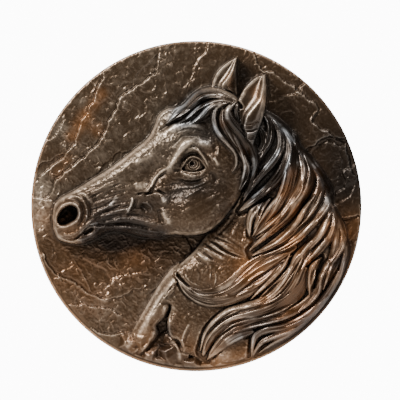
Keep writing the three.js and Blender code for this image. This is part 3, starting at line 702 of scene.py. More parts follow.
hair = {
    "strandWidth": 5.6,
    "grooveDepth": 1.25,
    "sideStrands": 1,
    "gapDepth": 3.5,
    "wave": 0.2,
    "sway": 0.15,       # how far a crest or a strand wanders across its lock
    # a lock's usual height at its sides, and its share of the width at its root and tip
    "usual": {"lift": 0.12, "root": 0.45, "tip": 0.1},
    # each lock: its width, rise, crest and path, then what else it needs;
    # the crest is where its sharp ridge lies, from -1 to 1 across it
    "locks": [
        # along the crest
        (8, 5, 0.1, [[264, 112], [276, 121], [287, 131], [296, 142], [303, 152]]),
        (8, 5, 0.3, [[299, 147], [309, 160], [319, 175], [326, 190], [330, 203]]),
        (8, 5, 0.3, [[332, 206], [339, 222], [343, 240], [344, 258]]),
        (8, 4, 0.2, [[344, 256], [341, 274], [333, 292], [320, 307]]),
        (15, 5, -0.3, [[336, 218], [338, 238], [334, 258], [326, 276], [314, 292]], {"root": 0.6}),
        (15, 4, 0.2, [[318, 214], [316, 232], [308, 250], [296, 266]], {"root": 0.6}),
        # down the neck, from the poll
        (9, 6, -0.5, [[263, 113], [269, 126], [268, 141], [261, 155], [250, 170], [244, 178]]),
        (6, 4, 0.4, [[258, 128], [262, 142], [257, 156], [249, 168]]),
        (10, 7, 0.6, [[272, 119], [279, 132], [280, 147], [272, 162], [260, 176], [248, 192],
                      [243, 201]]),
        (13, 7, 0.5, [[280, 126], [287, 142], [286, 158], [279, 174], [267, 188], [252, 201],
                      [240, 211]]),
        (10, 9, 0.1, [[283, 127], [290, 136], [296, 147], [299, 156]], {"root": 0.3}),
        (15, 9, -0.6, [[294, 146], [293, 165], [289, 184], [281, 201], [269, 219], [255, 234]]),
        (10, 10, 0.3, [[299, 152], [302, 168], [300, 184], [292, 199], [283, 212], [270, 226],
                       [256, 238]]),
        (12, 8, -0.4, [[305, 155], [310, 168], [308, 183], [299, 199], [289, 214], [275, 227], [260, 240],
                       [249, 250]]),
        (14, 8, 0.5, [[312, 162], [320, 177], [319, 192], [310, 208], [300, 221], [288, 233], [272, 244],
                      [252, 255]]),
        (8, 11, -0.2, [[314, 196], [304, 210], [298, 221], [289, 231], [276, 242], [256, 252]]),
        (12, 9, 0.1, [[320, 174], [327, 189], [326, 204], [317, 217], [306, 228], [296, 238], [280, 248],
                      [260, 256]]),
        (7, 6, 0.5, [[278, 174], [264, 189], [250, 201], [238, 211]]),
        (8, 6, -0.5, [[258, 205], [252, 212], [248.5, 223], [249, 236]]),
        (6, 6, 0.4, [[269, 199], [261, 209], [257, 219], [253, 230]]),
        (8, 8, -0.5, [[279, 196], [270, 209], [261, 222], [252, 236]]),
        (6, 9, 0.2, [[286, 204], [277, 216], [266, 226], [254, 236]]),
        # fanning out from the top of the shoulder
        (11, 9, 0.1, [[330, 204], [326, 219], [320, 232], [309, 244], [296, 256], [287, 270]]),
        (10, 9, -0.3, [[333, 208], [333, 223], [327, 238], [317, 250], [306, 262], [298, 273]]),
        (10, 8, 0.5, [[335, 212], [341, 228], [341, 242], [334, 256], [324, 268], [318, 282],
                      [316, 293]]),
        (9, 7, -0.5, [[342, 232], [346, 247], [344, 262], [340, 276], [333, 289], [322, 302]]),
        (8, 7, 0.6, [[337, 250], [330, 262], [325, 276], [322, 290]]),
        (9, 9, -0.4, [[320, 257], [312, 268], [310, 281], [309, 297]], {"root": 0.2}),
        (8, 8, 0.3, [[325, 266], [319, 278], [316, 292], [306, 304], [294, 312]]),
        # the collar that ends at the throat
        (19, 4.5, 0.8, [[292, 246], [276, 255], [260, 264], [245, 275], [232, 286], [216, 293],
                        [200, 293], [189, 287]], {"strands": 2, "lift": 0.3, "flat": True}),
        (10, 5, 0.3, [[280, 262], [266, 276], [250, 287], [232, 295], [214, 298], [198, 296], [184, 286],
                      [175, 275]]),
        (8, 4.5, -0.4, [[262, 284], [246, 294], [228, 301], [210, 303], [196, 299], [185, 291],
                        [178, 281]]),
        (7, 9, 0.1, [[289, 254], [282, 267], [272, 278], [261, 288], [250, 299]], {"root": 0.2}),
        (6, 8, -0.3, [[291, 265], [281, 277], [270, 287], [259, 297]], {"root": 0.2}),
        # long locks that fall to the lower edge
        (12, 9, -0.3, [[314, 238], [304, 251], [294, 265], [286, 278], [276, 291], [262, 302], [246, 307],
                       [230, 311], [216, 320], [206, 332], [200, 350]]),
        (14, 8, 0.2, [[308, 252], [299, 268], [291, 283], [280, 296], [266, 305], [248, 311], [232, 316],
                      [218, 325], [207, 338], [202, 354]]),
        (16, 7, -0.6, [[306, 270], [302, 284], [290, 299], [272, 310], [254, 316], [236, 320], [221, 329],
                       [210, 342], [203, 355]]),
        (11, 7, 0.4, [[316, 288], [305, 302], [289, 313], [270, 319], [252, 324], [234, 330], [220, 339],
                      [209, 352]]),
        (12, 7, -0.3, [[338, 272], [330, 290], [316, 306], [300, 319], [282, 326], [266, 329], [255, 336],
                       [251, 357]]),
        (10, 6, 0.3, [[336, 286], [324, 303], [308, 318], [293, 329], [277, 335], [262, 341], [255, 350],
                      [252, 358]]),
        (10, 5, -0.2, [[318, 314], [302, 328], [284, 339], [268, 347], [258, 353]]),
        (12, 6, -0.2, [[251, 331], [238, 334], [225, 341], [213, 352], [207, 359]]),
    ],
    "forelock": [
        (13, 7, 0.8, [[241, 107], [228, 97], [211, 93], [200, 96], [191, 103.5], [181, 112.5],
                      [166, 124]], {"lift": 0.0}),
        (6, 7, 0.3, [[236, 104], [221, 101], [207, 104.5], [197, 110], [189, 117], [178, 124]]),
        (8, 8, 0.2, [[232, 103], [219, 103], [208, 109], [201, 117], [189, 125]]),
        (6, 7, -0.2, [[226, 105], [215, 108], [207, 116], [197, 123]]),
        (10, 7, -0.3, [[222, 108], [222, 122], [231, 138], [242, 153], [246, 166], [243, 180],
                       [239, 189]], {"tip": 0.25}),
        (8, 6, 0.4, [[250, 150], [254, 166], [250, 182], [243, 197]]),
        (14, 9, 0.3, [[234, 103], [227, 111], [230, 122], [241, 136], [251, 150], [254, 166],
                      [247, 184]], {"strands": 1}),
        (6, 6, 0.2, [[238, 103], [235.5, 111], [237, 118], [240, 125]]),
        (5, 10, 0.1, [[244, 156], [248, 167], [246, 179], [240, 190]]),
        (6, 9, -0.2, [[229, 102], [217, 107], [213, 119], [217, 133], [227, 144], [235, 154], [236, 165],
                      [232, 172]], {"tip": 0.3}),
    ],
}


def readLock(width, rise, crest, path, more={}):
    return {**hair["usual"], "width": width, "rise": rise, "crest": crest, "path": path, **more}


maneLocks, forelocks = ([readLock(*lock) for lock in hair[key]] for key in ("locks", "forelock"))


def swellAlong(share, root, tip):
    opening = root + (1 - root) * np.sin(np.clip(share / 0.35, 0, 1) * math.pi / 2)
    closing = tip + (1 - tip) * (1 - np.clip((share - 0.35) / 0.65, 0, 1) ** 2.4)
    return opening * closing


def addLock(lock, key):
    path = smoothPath(lock["path"])
    width, rise = lock["width"], lock["rise"]
    run = float(np.hypot(*np.diff(path, axis=0).T).sum())
    w = window(path, width)
    gap, share, side = alongPath(path, right[w], down[w])
    swell = swellAlong(share, lock["root"], lock["tip"])
    half = width / 2 * swell
    s = np.clip(-side * gap / half, -1.5, 1.5)
    inside = gap < half
    # the crest wanders from side to side and the flanks fall away from it
    crest = lock.get("crest", random.uniform(-0.5, 0.5))
    crest = crest + hair["sway"] * np.sin(share * random.uniform(3, 6) + random.uniform(0, 6))
    u = np.clip(np.where(s > crest, (s - crest) / (1 - crest), (crest - s) / (1 + crest)), 0, 1)
    lift = lock["lift"]
    crown = lift + (1 - lift) * (0.45 * (1 - u) + 0.55 * (1 - u**2.6))
    # the lock rises and dips
    wave = 1 + hair["wave"] * np.sin(share * run / random.uniform(6, 9) + random.uniform(0, 6))
    top = body[w] + rise * (0.35 + 0.65 * swell) * crown * wave
    # strands: broad grooves, each over a stretch of the lock, and a fine combed line between them
    count = lock.get("strands", max(1, round(width / hair["strandWidth"])))
    for place in np.linspace(-1, 1, count + 2)[1:-1]:
        wander = place + random.normal(0, 0.12)
        wander = wander + hair["sway"] * np.sin(share * random.uniform(3, 8) + random.uniform(0, 6))
        start, end = random.uniform(-0.2, 0.4), random.uniform(0.6, 1.2)
        depth = hair["grooveDepth"] * random.uniform(0.5, 1.3) * smoothStep(start, start + 0.2, share)
        depth = depth * smoothStep(0, 0.2, end - share)
        top -= depth * np.exp(-(((s - wander) * half / random.uniform(0.6, 1.1)) ** 2))
        top += random.normal(0, 0.5) * np.tanh((s - wander) * half / 1.4)
    combed = np.sin(s * half * random.uniform(2.6, 3.6) + 1.5 * np.sin(share * 5 + random.uniform(0, 6)))
    top += 0.1 * combed * (0.5 + 0.5 * np.sin(share * 9 + s * 2 + random.uniform(0, 6)))
    cover(w, inside & (top > height[w]), top, key)


def sideStrands(lock, key, count):
    # thin strands that lie along a lock, part from it and rejoin
    path = smoothPath(lock["path"], 24)
    tangent = np.gradient(path, axis=0)
    tangent /= np.maximum(np.hypot(*tangent.T), 1e-9)[:, None]
    normal = np.column_stack([-tangent[:, 1], tangent[:, 0]])
    for k in range(count):
        start, end = random.integers(0, 7), random.integers(15, 25)
        t = np.linspace(0, 1, end - start)
        offset = random.uniform(-0.5, 0.5) * lock["width"] * (1 - 0.6 * t)
        offset = offset + random.normal(0, 1.3) * np.sin(t * random.uniform(3, 6))
        points = path[start:end] + normal[start:end] * offset[:, None]
        strand = {"path": points[::3], "width": random.uniform(2.6, 5)}
        strand["rise"] = lock["rise"] * random.uniform(0.9, 1.2)
        addLock({**strand, "lift": 0.4, "tip": 0.15, "root": 0.2, "strands": 1}, key)


# the bed under the hair lies deeper, so that the gaps between the locks go dark
bed = np.zeros(right.shape)
for lock in maneLocks:
    if "flat" in lock:
        continue
    w, gap, share, side = stroke(lock["path"], lock["width"])
    bed[w] = np.maximum(bed[w], 1 - smoothStep(lock["width"] * 0.2, lock["width"] * 0.65, gap))
bed = blur(bed, 2.0) * (layer == layers["neck"])
height = np.maximum(height - hair["gapDepth"] * smoothStep(0.3, 0.9, bed), np.minimum(height, 2.0))
for lock in maneLocks:
    addLock(lock, "mane")
    sideStrands(lock, "mane", hair["sideStrands"])
for lock in forelocks:
    addLock(lock, "forelock")
    if lock["width"] > 6 and "strands" not in lock:
        sideStrands(lock, "forelock", 1)
print("hair laid")


def addEar(ear):
    w = window(ear["loop"], 2)
    r, d = right[w], down[w]
    depth = depthInside(ear["loop"], r, d)
    front, back = (alongPath(smoothPath(ear[k], 30), r, d)[0] for k in ("front", "back"))
    fold, share, side = alongPath(smoothPath(ear["fold"], 30), r, d)
    frontHeight, hollow, foldHeight, backHeight = ear["heights"]
    sink = 1 - 0.12 * share
    u = front / (front + fold + 1e-6)
    inner = frontHeight * (1 - u) + foldHeight * u
    middle = (frontHeight + foldHeight) / 2
    inner -= (middle - hollow) * np.sin(math.pi * u**1.25) ** 0.8
    v = back / (back + fold + 1e-6)
    outer = backHeight * (1 - v) + foldHeight * v + 2.5 * np.sin(math.pi * v)
    top = np.where(side < 0, inner, outer) * sink
    cover(w, (depth > outlineSlack) & (top > height[w]), top, "ears")


# the forelock hangs in front of the ears' roots, below and to the left of a point on the sheet
earRoots = {"right": 246, "down": 90, "reach": 7}
hairOver = (layer == layers["forelock"]) & (down > earRoots["down"]) & (right < earRoots["right"])
kept = height.copy()
for ear in ears.values():
    addEar(ear)
hairOver &= kept > height - earRoots["reach"]
height = np.where(hairOver, kept, height)
layer = np.where(hairOver, layers["forelock"], layer)
earWrinkles = [
    (2.0, -1.8, [[241, 131], [248, 132], [254, 131], [259, 128]]),
    (2.4, 1.0, [[243, 134], [250, 135], [257, 133]]),
    (1.8, -1.2, [[245, 138], [251, 139], [256, 137]]),
    (2.2, -0.9, [[243, 125], [250, 125], [258, 121]]),
]
for ridge in earWrinkles:
    addRidge(*ridge)
print("ears set")

# finish of the whole surface: soften the tool marks a little, then round the rim

finish = {
    "softening": 0.45,       # size of the blur
    "keptOnGround": 0.2,     # share of the unsoftened surface
    "keptOnRelief": 0.5,
    "room": 0.1,             # left between the tallest points and the solid's front
    "easing": 3,             # height over which the tallest points level off
    "shoulder": 7,           # width over which the relief rounds over before the plain strip
    # how deep a hollow goes quite dark, and how dark; how high a ridge is rubbed bright and painted with a
    # highlight, and how bright
    "hollow": (2.6, 0.75),
    "wideHollow": (9, 0.45),
    "ridge": (2.6, 0.62),
    "fineRidge": (0.5, 0.72),
    # what is taken off: ridges of the ground and the head, and hollows of the ears
    "groundRidges": 0.36,
    "headRidges": 0.3,
    "earHollows": 0.3,
    # the rim's bright edge, worn and painted with a highlight: from and to, measured in from the rim, and
    # how strongly it is worn and painted bright
    "edge": (3.2, 1.2),
    "edgeWearAndHighlight": 0.75,
}
soft = blur(height, finish["softening"])
keep = np.where(layer == layers["ground"], finish["keptOnGround"], finish["keptOnRelief"])
height = height * keep + soft * (1 - keep)
tallest = -cadBox[0].y * 1000 - plaque["thickness"] - finish["room"]
easing = finish["easing"]
eased = tallest - easing * np.exp(-(height - tallest + easing) / easing)
height = np.where(height > tallest - easing, eased, height)
rim = np.clip((fromCentre - (radius - plaque["edgeRound"])) / plaque["edgeRound"], 0, 1)
edgeDrop = plaque["edgeRound"] * (1 - np.sqrt(1 - rim**2))
# whatever stands up rounds over before the plain strip
shoulderWidth = finish["shoulder"]
shoulder = np.clip((fromCentre - (radius - plaque["band"] - shoulderWidth)) / shoulderWidth, 0, 1)
lowPart = np.minimum(height, 0.7)
height = lowPart + (height - lowPart) * np.sqrt(1 - shoulder**2) - edgeDrop

near = blur(height, 1.0)
middle = blur(height, 2.4)
wide = blur(height, 8.0)
carved = blur((layer > layers["ground"]).astype(float), 1.5)


def graded(rise, key):
    # nought to one up to the key's full height or depth
    return np.clip(rise / finish[key][0], 0, 1)


cavity = graded(middle - height, "hollow") * finish["hollow"][1] * (0.5 + 0.5 * carved)
cavity += graded(wide - height, "wideHollow") * finish["wideHollow"][1] * carved
cavity *= 1 - finish["earHollows"] * (layer == layers["ears"])
# the bright edge, worn metal and a painted highlight, is strongest at the lower left
towardsLowerLeft = 0.8 * (down - plaque["sheetCentre"][1]) - 0.6 * (right - plaque["sheetCentre"][0])
rimWearAndHighlight = smoothStep(radius - finish["edge"][0], radius - finish["edge"][1], fromCentre)
rimWearAndHighlight *= 0.25 + 0.75 * smoothStep(-0.1 * radius, 0.7 * radius, towardsLowerLeft)
# ridges are rubbed brighter: worn metal, and also painted highlights where light catches them
crest = graded(height - middle, "ridge") ** 1.5 * finish["ridge"][1]
crest += graded(height - near, "fineRidge") * finish["fineRidge"][1]
crest *= (1 - finish["groundRidges"] * (layer == layers["ground"])
          - finish["headRidges"] * (layer == layers["head"]))
cavity = np.clip(cavity, 0, 1)
crest = np.clip(np.maximum(crest, finish["edgeWearAndHighlight"] * rimWearAndHighlight), 0, 1)

# places rubbed back to brighter metal, and painted highlights where light catches the relief: path, half
# width, amount
rubbedAndHighlit = [
    ([[165, 173], [172, 163.5], [178.5, 153], [184, 146], [190, 142.5], [197, 142]], 3.2, 1.0),
    ([[171, 168], [162, 173], [155, 180], [150, 188]], 2.2, 0.9),
    ([[135, 187], [142, 186], [149, 186]], 3.5, 0.7),
    ([[163, 198], [165, 202]], 3.0, 1.0),
    ([[43, 180], [40, 205], [41, 232]], 9.0, 0.55),
    ([[64, 124], [57, 134]], 5.0, 0.3),
    ([[86, 98], [80, 108]], 4.0, 0.2),
    ([[163, 211], [166, 217], [170, 224]], 3.6, 0.7),
    ([[133, 197], [131, 205], [127, 212]], 1.8, 0.8),
    ([[110, 206], [118, 196.5]], 1.8, 0.8),
    ([[70, 193], [90, 183], [112, 170], [134, 155], [150, 144]], 6.0, 0.2),
    ([[134, 164], [142, 160], [150, 155], [157, 150]], 3.5, 0.45),
    ([[160, 137], [170, 131], [184, 127], [198, 127]], 4.0, 0.75),
    ([[153, 132], [155, 124], [159, 116], [165, 110], [175, 110]], 3.0, 0.5),
    ([[182, 144], [190, 141], [206, 144], [213, 142]], 3.0, 0.5),
    ([[213, 158], [216, 162], [218, 166]], 1.6, 1.0),
    ([[187, 150], [196, 150], [202, 156], [208, 166]], 1.6, 0.6),
    ([[180, 171.5], [187, 175.5], [196, 177]], 2.0, 0.3),
    ([[57.5, 227], [55.5, 219], [58.3, 211.3], [64, 205.3], [71.6, 203.3], [78, 206], [80.6, 213.5],
      [78, 221], [72, 225], [66, 228]], 0.8, 0.6),
    ([[53, 214], [53, 224], [56, 234], [64, 241]], 2.2, 0.35),
    ([[76, 192], [86, 196], [91, 204]], 2.0, 0.5),
    ([[80, 235], [88, 227], [97, 223]], 1.4, 0.6),
    ([[174, 276], [167, 286], [157, 301], [148, 316], [140, 331], [134, 341]], 3.2, 1.0),
    ([[178, 264], [168, 274], [157, 290], [146, 308], [136, 326]], 3.2, 0.7),
    ([[197, 251], [204, 256], [208, 259]], 2.6, 0.9),
    ([[206, 241], [213, 245], [219, 249]], 2.0, 0.7),
    ([[168, 330], [171, 337], [178, 339.5], [181, 346], [182, 352], [190, 354.5], [197, 357.5],
      [203, 361]], 1.3, 0.8),
    ([[190, 322], [185, 330], [181.5, 340]], 1.0, 0.7),
    ([[171, 340], [176, 345], [179, 352], [179.5, 360]], 1.8, 0.8),
    ([[208, 358], [214, 354], [222, 352], [230, 356]], 4.0, 0.65),
    ([[126, 347], [129, 344], [132, 341]], 2.4, 0.7),
    ([[207, 330], [203, 337], [200, 346], [199, 353]], 3.0, 1.0),
    ([[227, 91], [218, 86.5], [208, 86.5], [199, 89], [191, 95], [184, 104], [175, 112],
      [166, 122]], 2.2, 0.9),
    ([[208, 104], [203, 113], [196, 118], [188, 124]], 2.0, 0.9),
    ([[200, 105], [193, 112], [186, 120]], 1.2, 0.8),
    ([[224, 104], [217, 108], [214, 118], [216, 130], [224, 139]], 2.2, 0.9),
    ([[230, 105], [226, 113], [225, 121]], 2.2, 0.8),
    ([[238, 152], [244, 161], [244, 170], [240, 181]], 1.5, 0.9),
    ([[252, 157], [253, 166], [250, 176]], 2.0, 0.5),
    ([[237, 105], [240.5, 96], [248, 85.5], [256, 78.5], [262, 77]], 1.2, 0.7),
    ([[253, 94], [256, 90], [259, 85], [261, 80]], 3.2, 0.25),
    ([[261.5, 84], [260, 97], [253, 108], [245, 118]], 1.5, 0.8),
    ([[213, 84], [216, 75], [222, 68], [235, 59]], 1.6, 0.7),
    ([[234, 62], [231, 73], [225, 83], [221, 88]], 1.4, 0.8),
    ([[280, 128], [287, 134], [294, 143]], 2.6, 0.6),
    ([[266, 114], [274, 120], [281, 127]], 1.6, 0.35),
    ([[289, 155], [285, 170], [281, 188], [273, 204], [264, 217]], 1.5, 0.9),
    ([[298, 161], [299.5, 166]], 2.2, 1.0),
    ([[312, 163], [316, 168]], 2.4, 1.0),
    ([[279, 149], [272, 159], [263, 170]], 1.6, 0.6),
    ([[300, 187], [295, 198], [288, 209]], 2.2, 0.9),
    ([[306, 182], [303, 192], [296, 202]], 1.4, 0.7),
    ([[323, 197], [326, 204], [320, 211]], 3.4, 1.0),
    ([[303, 207], [298, 217], [291, 227]], 2.4, 0.9),
    ([[276, 190], [270, 204], [262, 213]], 2.2, 0.7),
    ([[278, 217], [268, 226], [258, 234]], 3.6, 0.9),
    ([[326, 217], [323, 228], [317, 238]], 2.2, 0.9),
    ([[332, 216], [332, 227], [327, 239]], 2.2, 0.9),
    ([[250, 198], [257, 191], [263, 184]], 1.8, 0.7),
    ([[253, 212], [249.5, 222], [249, 234]], 1.5, 0.8),
    ([[262, 205], [256, 211], [251, 219]], 1.5, 0.8),
    ([[311, 242], [303, 253], [294, 264]], 2.4, 0.6),
    ([[338, 222], [337, 234], [332, 246]], 1.6, 0.9),
    ([[322, 226], [316, 240], [307, 252]], 1.8, 0.8),
    ([[327, 250], [321, 262], [312, 274]], 1.8, 0.7),
    ([[290, 264], [284, 276], [277, 288], [269, 299]], 2.6, 1.0),
    ([[286, 258], [276, 271], [265, 283], [252, 297]], 1.6, 0.9),
    ([[317, 260], [312, 270], [310, 283]], 2.0, 0.9),
    ([[341, 238], [342, 250], [337, 262], [328, 272]], 1.6, 0.8),
    ([[343, 255], [342, 268], [336, 284]], 1.6, 0.7),
    ([[266, 240], [256, 249], [250, 256]], 2.0, 0.8),
    ([[247, 262], [237, 272], [228, 284], [215, 290]], 2.4, 0.6),
    ([[223, 323], [232, 318], [245, 317], [256, 317]], 1.4, 0.8),
    ([[255, 326], [252, 340], [250, 356]], 1.5, 0.7),
    ([[225, 343], [234, 339], [243, 335]], 3.0, 0.7),
    ([[300, 308], [310, 300], [316, 291]], 1.6, 0.6),
]
rubAndHighlight = np.zeros(right.shape)
for path, size, amount in rubbedAndHighlit:
    w, gap, share, side = stroke(path, size * 2.5)
    strength = amount * np.exp(-((gap / size) ** 2)) * smoothStep(0, 0.2, share + 0.05)
    rubAndHighlight[w] = np.maximum(rubAndHighlight[w], strength * smoothStep(0, 0.2, 1.05 - share))
rubAndHighlight *= 0.55 + 0.45 * np.clip((height - near) / 0.25, -1, 1)

# broad tones: warm is brown to copper patina; pale is a dry grey bloom and also painted light on lit faces;
# dark is darker patina and also painted shade, as under the jaw and the nose and on the ground right of the
# mane
tones = {
    # right, down, size, amount
    "warm": [[101, 94, 6, 0.7], [94, 104, 6, 0.6], [86, 115, 7, 0.6], [79, 126, 7, 0.6],
             [72, 136, 6, 0.5], [97, 130, 7, 0.4], [67, 215, 14, 0.35], [66, 160, 6, 0.45],
             [58, 172, 7, 0.45], [42, 215, 14, 0.35], [300, 240, 50, 0.35], [255, 275, 40, 0.35],
             [290, 172, 6, 1.0], [316, 172, 6, 1.0], [283, 190, 8, 0.8], [305, 190, 7, 0.9],
             [272, 222, 9, 0.9], [322, 190, 6, 0.8], [296, 215, 8, 0.8], [250, 270, 12, 1.0],
             [292, 243, 10, 1.0], [262, 300, 9, 0.6], [310, 262, 9, 0.6], [330, 235, 7, 0.8],
             [345, 235, 6, 0.8], [240, 325, 10, 0.5], [222, 125, 5, 0.6], [254, 92, 7, 0.45],
             [230, 78, 5, 0.4], [262, 100, 5, 0.4], [244, 150, 5, 0.5], [90, 270, 50, 0.32],
             [290, 180, 28, 0.25], [150, 345, 30, 0.4], [340, 225, 20, 0.5], [140, 255, 26, 0.35],
             [320, 303, 24, 0.8], [296, 326, 22, 0.8], [342, 268, 16, 0.6], [210, 366, 30, 0.6],
             [250, 352, 20, 0.5]],
    # dark: darker patina, and painted shade under the jaw and the nose, on the ground right of the mane, and
    # on the cheek where a highlight would fall
    "darkPatinaAndShade": [[345, 150, 45, 0.85], [300, 95, 30, 0.35], [345, 190, 22, 0.65], [265, 140, 24, 0.95],
             [274, 168, 14, 0.9], [285, 148, 14, 0.7], [268, 152, 12, 0.4], [258, 200, 9, 0.4],
             [120, 200, 20, 0.2], [262, 185, 12, 0.6], [236, 122, 13, 0.48], [200, 106, 13, 0.4],
             [180, 118, 12, 0.8], [222, 180, 18, 0.4], [150, 205, 14, 0.5], [265, 325, 24, 0.35],
             [240, 335, 16, 0.4], [163, 330, 12, 0.8], [118, 238, 11, 0.9], [136, 236, 9, 0.5],
             [100, 222, 18, 0.5], [128, 226, 16, 0.5], [256, 185, 16, 0.8], [243, 75, 12, 0.8],
             [207, 134, 12, 0.7], [195, 98, 10, 0.4], [190, 110, 14, 0.6], [150, 246, 26, 0.5],
             [112, 243, 12, 0.8], [90, 244, 10, 0.5], [334, 262, 10, 0.35], [190, 120, 50, 0.25],
             [175, 180, 45, 0.25], [67, 214, 15, 0.4], [120, 231, 9, 0.7], [140, 232, 9, 0.7],
             [160, 233, 9, 0.6], [104, 230, 8, 0.5], [84, 238, 8, 0.4], [108, 238, 8, 0.5],
             [128, 238, 8, 0.5], [252, 98, 14, 0.25], [181, 193, 12, 0.65], [196, 186, 9, 0.4],
             [170, 196, 6, 0.3], [191.8, 164, 2.4, 0.9], [330, 300, 18, 0.5], [306, 325, 18, 0.5],
             [346, 265, 12, 0.25], [98, 206, 30, 0.4], [160, 352, 14, 0.3], [190, 362, 14, 0.5],
             [154, 352, 12, 0.35], [172, 352, 10, 0.35], [140, 352, 10, 0.2], [190, 300, 16, 0.2],
             [226, 210, 14, 0.4], [205, 190, 12, 0.3]],
    # pale: dry grey bloom, and painted light on lit faces such as the nose's top, the brow, the eye and the
    # locks at the right
    "paleBloomAndLight": [[115, 170, 26, 0.5], [155, 145, 22, 0.6], [180, 130, 20, 0.7], [160, 112, 10, 0.7],
             [150, 60, 60, 0.5], [45, 205, 22, 1.0], [42, 180, 12, 0.6], [82, 104, 8, 0.5],
             [60, 128, 8, 0.8], [330, 240, 14, 0.6], [336, 216, 10, 0.5], [100, 140, 40, 0.35],
             [325, 205, 14, 0.8], [318, 230, 14, 0.5], [185, 150, 12, 0.6], [155, 300, 14, 0.9],
             [140, 325, 12, 0.9], [50, 132, 14, 0.5], [252, 95, 10, 0.3], [222, 72, 10, 0.6],
             [220, 354, 10, 0.9], [205, 335, 10, 0.7], [190, 142, 8, 0.8], [205, 250, 12, 0.5],
             [286, 138, 10, 0.5], [120, 290, 42, 0.3], [95, 320, 30, 0.3], [70, 196, 14, 0.4]],
}


def toneField(spots):
    out = np.zeros(right.shape)
    for x, y, size, amount in spots:
        out += amount * spot(right, down, x, y, size)
    return np.clip(out, 0, 1)


# warm also takes the rim's bright edge: worn copper and a painted highlight
warm = np.maximum(toneField(tones["warm"]), 0.8 * rimWearAndHighlight)
paleBloomAndLight = toneField(tones["paleBloomAndLight"])
hairMask = (layer == layers["mane"]) + (layer == layers["forelock"]) * 1.0
# the dark tone is darker patina and painted shade; the hair is made darker all over
darkPatinaAndShade = np.clip(toneField(tones["darkPatinaAndShade"]) + 0.3 * blur(hairMask, 1.0), 0, 1)

# meshes

onDisc = fromCentre < radius + 1e-9
stretch = np.where(fromCentre > radius, radius / np.maximum(fromCentre, 1e-9), 1)
x = (right - plaque["sheetCentre"][0]) * stretch / 1000
z = -(down - plaque["sheetCentre"][1]) * stretch / 1000
y = -(plaque["thickness"] + height) / 1000
spots = np.stack([x, y, z], axis=-1)

# shading normals from the height map, so that neighbouring pieces meet without a seam
facing = np.cross(np.gradient(spots, axis=1), np.gradient(spots, axis=0))
facing /= np.maximum(np.linalg.norm(facing, axis=-1, keepdims=True), 1e-12)
normals = np.where(facing[..., 1:2] > 0, -facing, facing)

a, b, c, d = (layer[:-1, :-1], layer[:-1, 1:], layer[1:, 1:], layer[1:, :-1])
cellLayer = np.maximum(np.maximum(a, b), np.maximum(c, d))
cellOn = (onDisc[:-1, :-1] | onDisc[:-1, 1:] | onDisc[1:, 1:] | onDisc[1:, :-1])
cellDown = down[:-1, :-1]
# the ground and the mane are cut in two this far down the sheet, to keep each piece small
cuts = {"ground": 215, "mane": 250}
hairCell = (cellLayer == layers["mane"]).astype(float)
hairCell = np.pad(hairCell, ((0, 1), (0, 1)))
hairCell = blur(hairCell, 2.5)[:-1, :-1] > 0.4
hairCell = (hairCell & (cellLayer == layers["neck"])) | (cellLayer == layers["mane"])
regions = {
    "groundAbove": (cellLayer == layers["ground"]) & ~hairCell & (cellDown < cuts["ground"]),
    "groundBelow": (cellLayer == layers["ground"]) & ~hairCell & (cellDown >= cuts["ground"]),
    "neckAndChest": (cellLayer == layers["neck"]) & ~hairCell,
    "foreleg": cellLayer == layers["leg"],
    "horseHead": cellLayer == layers["head"],
    "upperMane": hairCell & (cellDown < cuts["mane"]),
    "lowerMane": hairCell & (cellDown >= cuts["mane"]),
    "forelock": cellLayer == layers["forelock"],
    "ears": cellLayer == layers["ears"],
}
gloss = blur((layer >= layers["mane"]) * 0.6 + (layer == layers["ground"]) * 0.25 + 0.1, 1.0)
gloss *= 1 - 0.9 * smoothStep(radius - 13, radius - 6, fromCentre)
masks = {"cavity": cavity, "crest": crest, "rubAndHighlight": rubAndHighlight, "warm": warm, "paleBloomAndLight": paleBloomAndLight, "darkPatinaAndShade": darkPatinaAndShade,
         "gloss": gloss}
index = np.arange(across * across).reshape(across, across)
rootY = -plaque["wallRoot"] / 1000
# the outermost points face half outwards, so that the side wall shades as one smooth band
outward = np.stack([right - plaque["sheetCentre"][0], 0 * right, plaque["sheetCentre"][1] - down], axis=-1)
outward /= np.maximum(np.linalg.norm(outward, axis=-1, keepdims=True), 1e-9)
atRim = fromCentre > radius - 0.05
normals = np.where(atRim[..., None], outward * 0.8 + np.array([0, -0.6, 0]), normals)


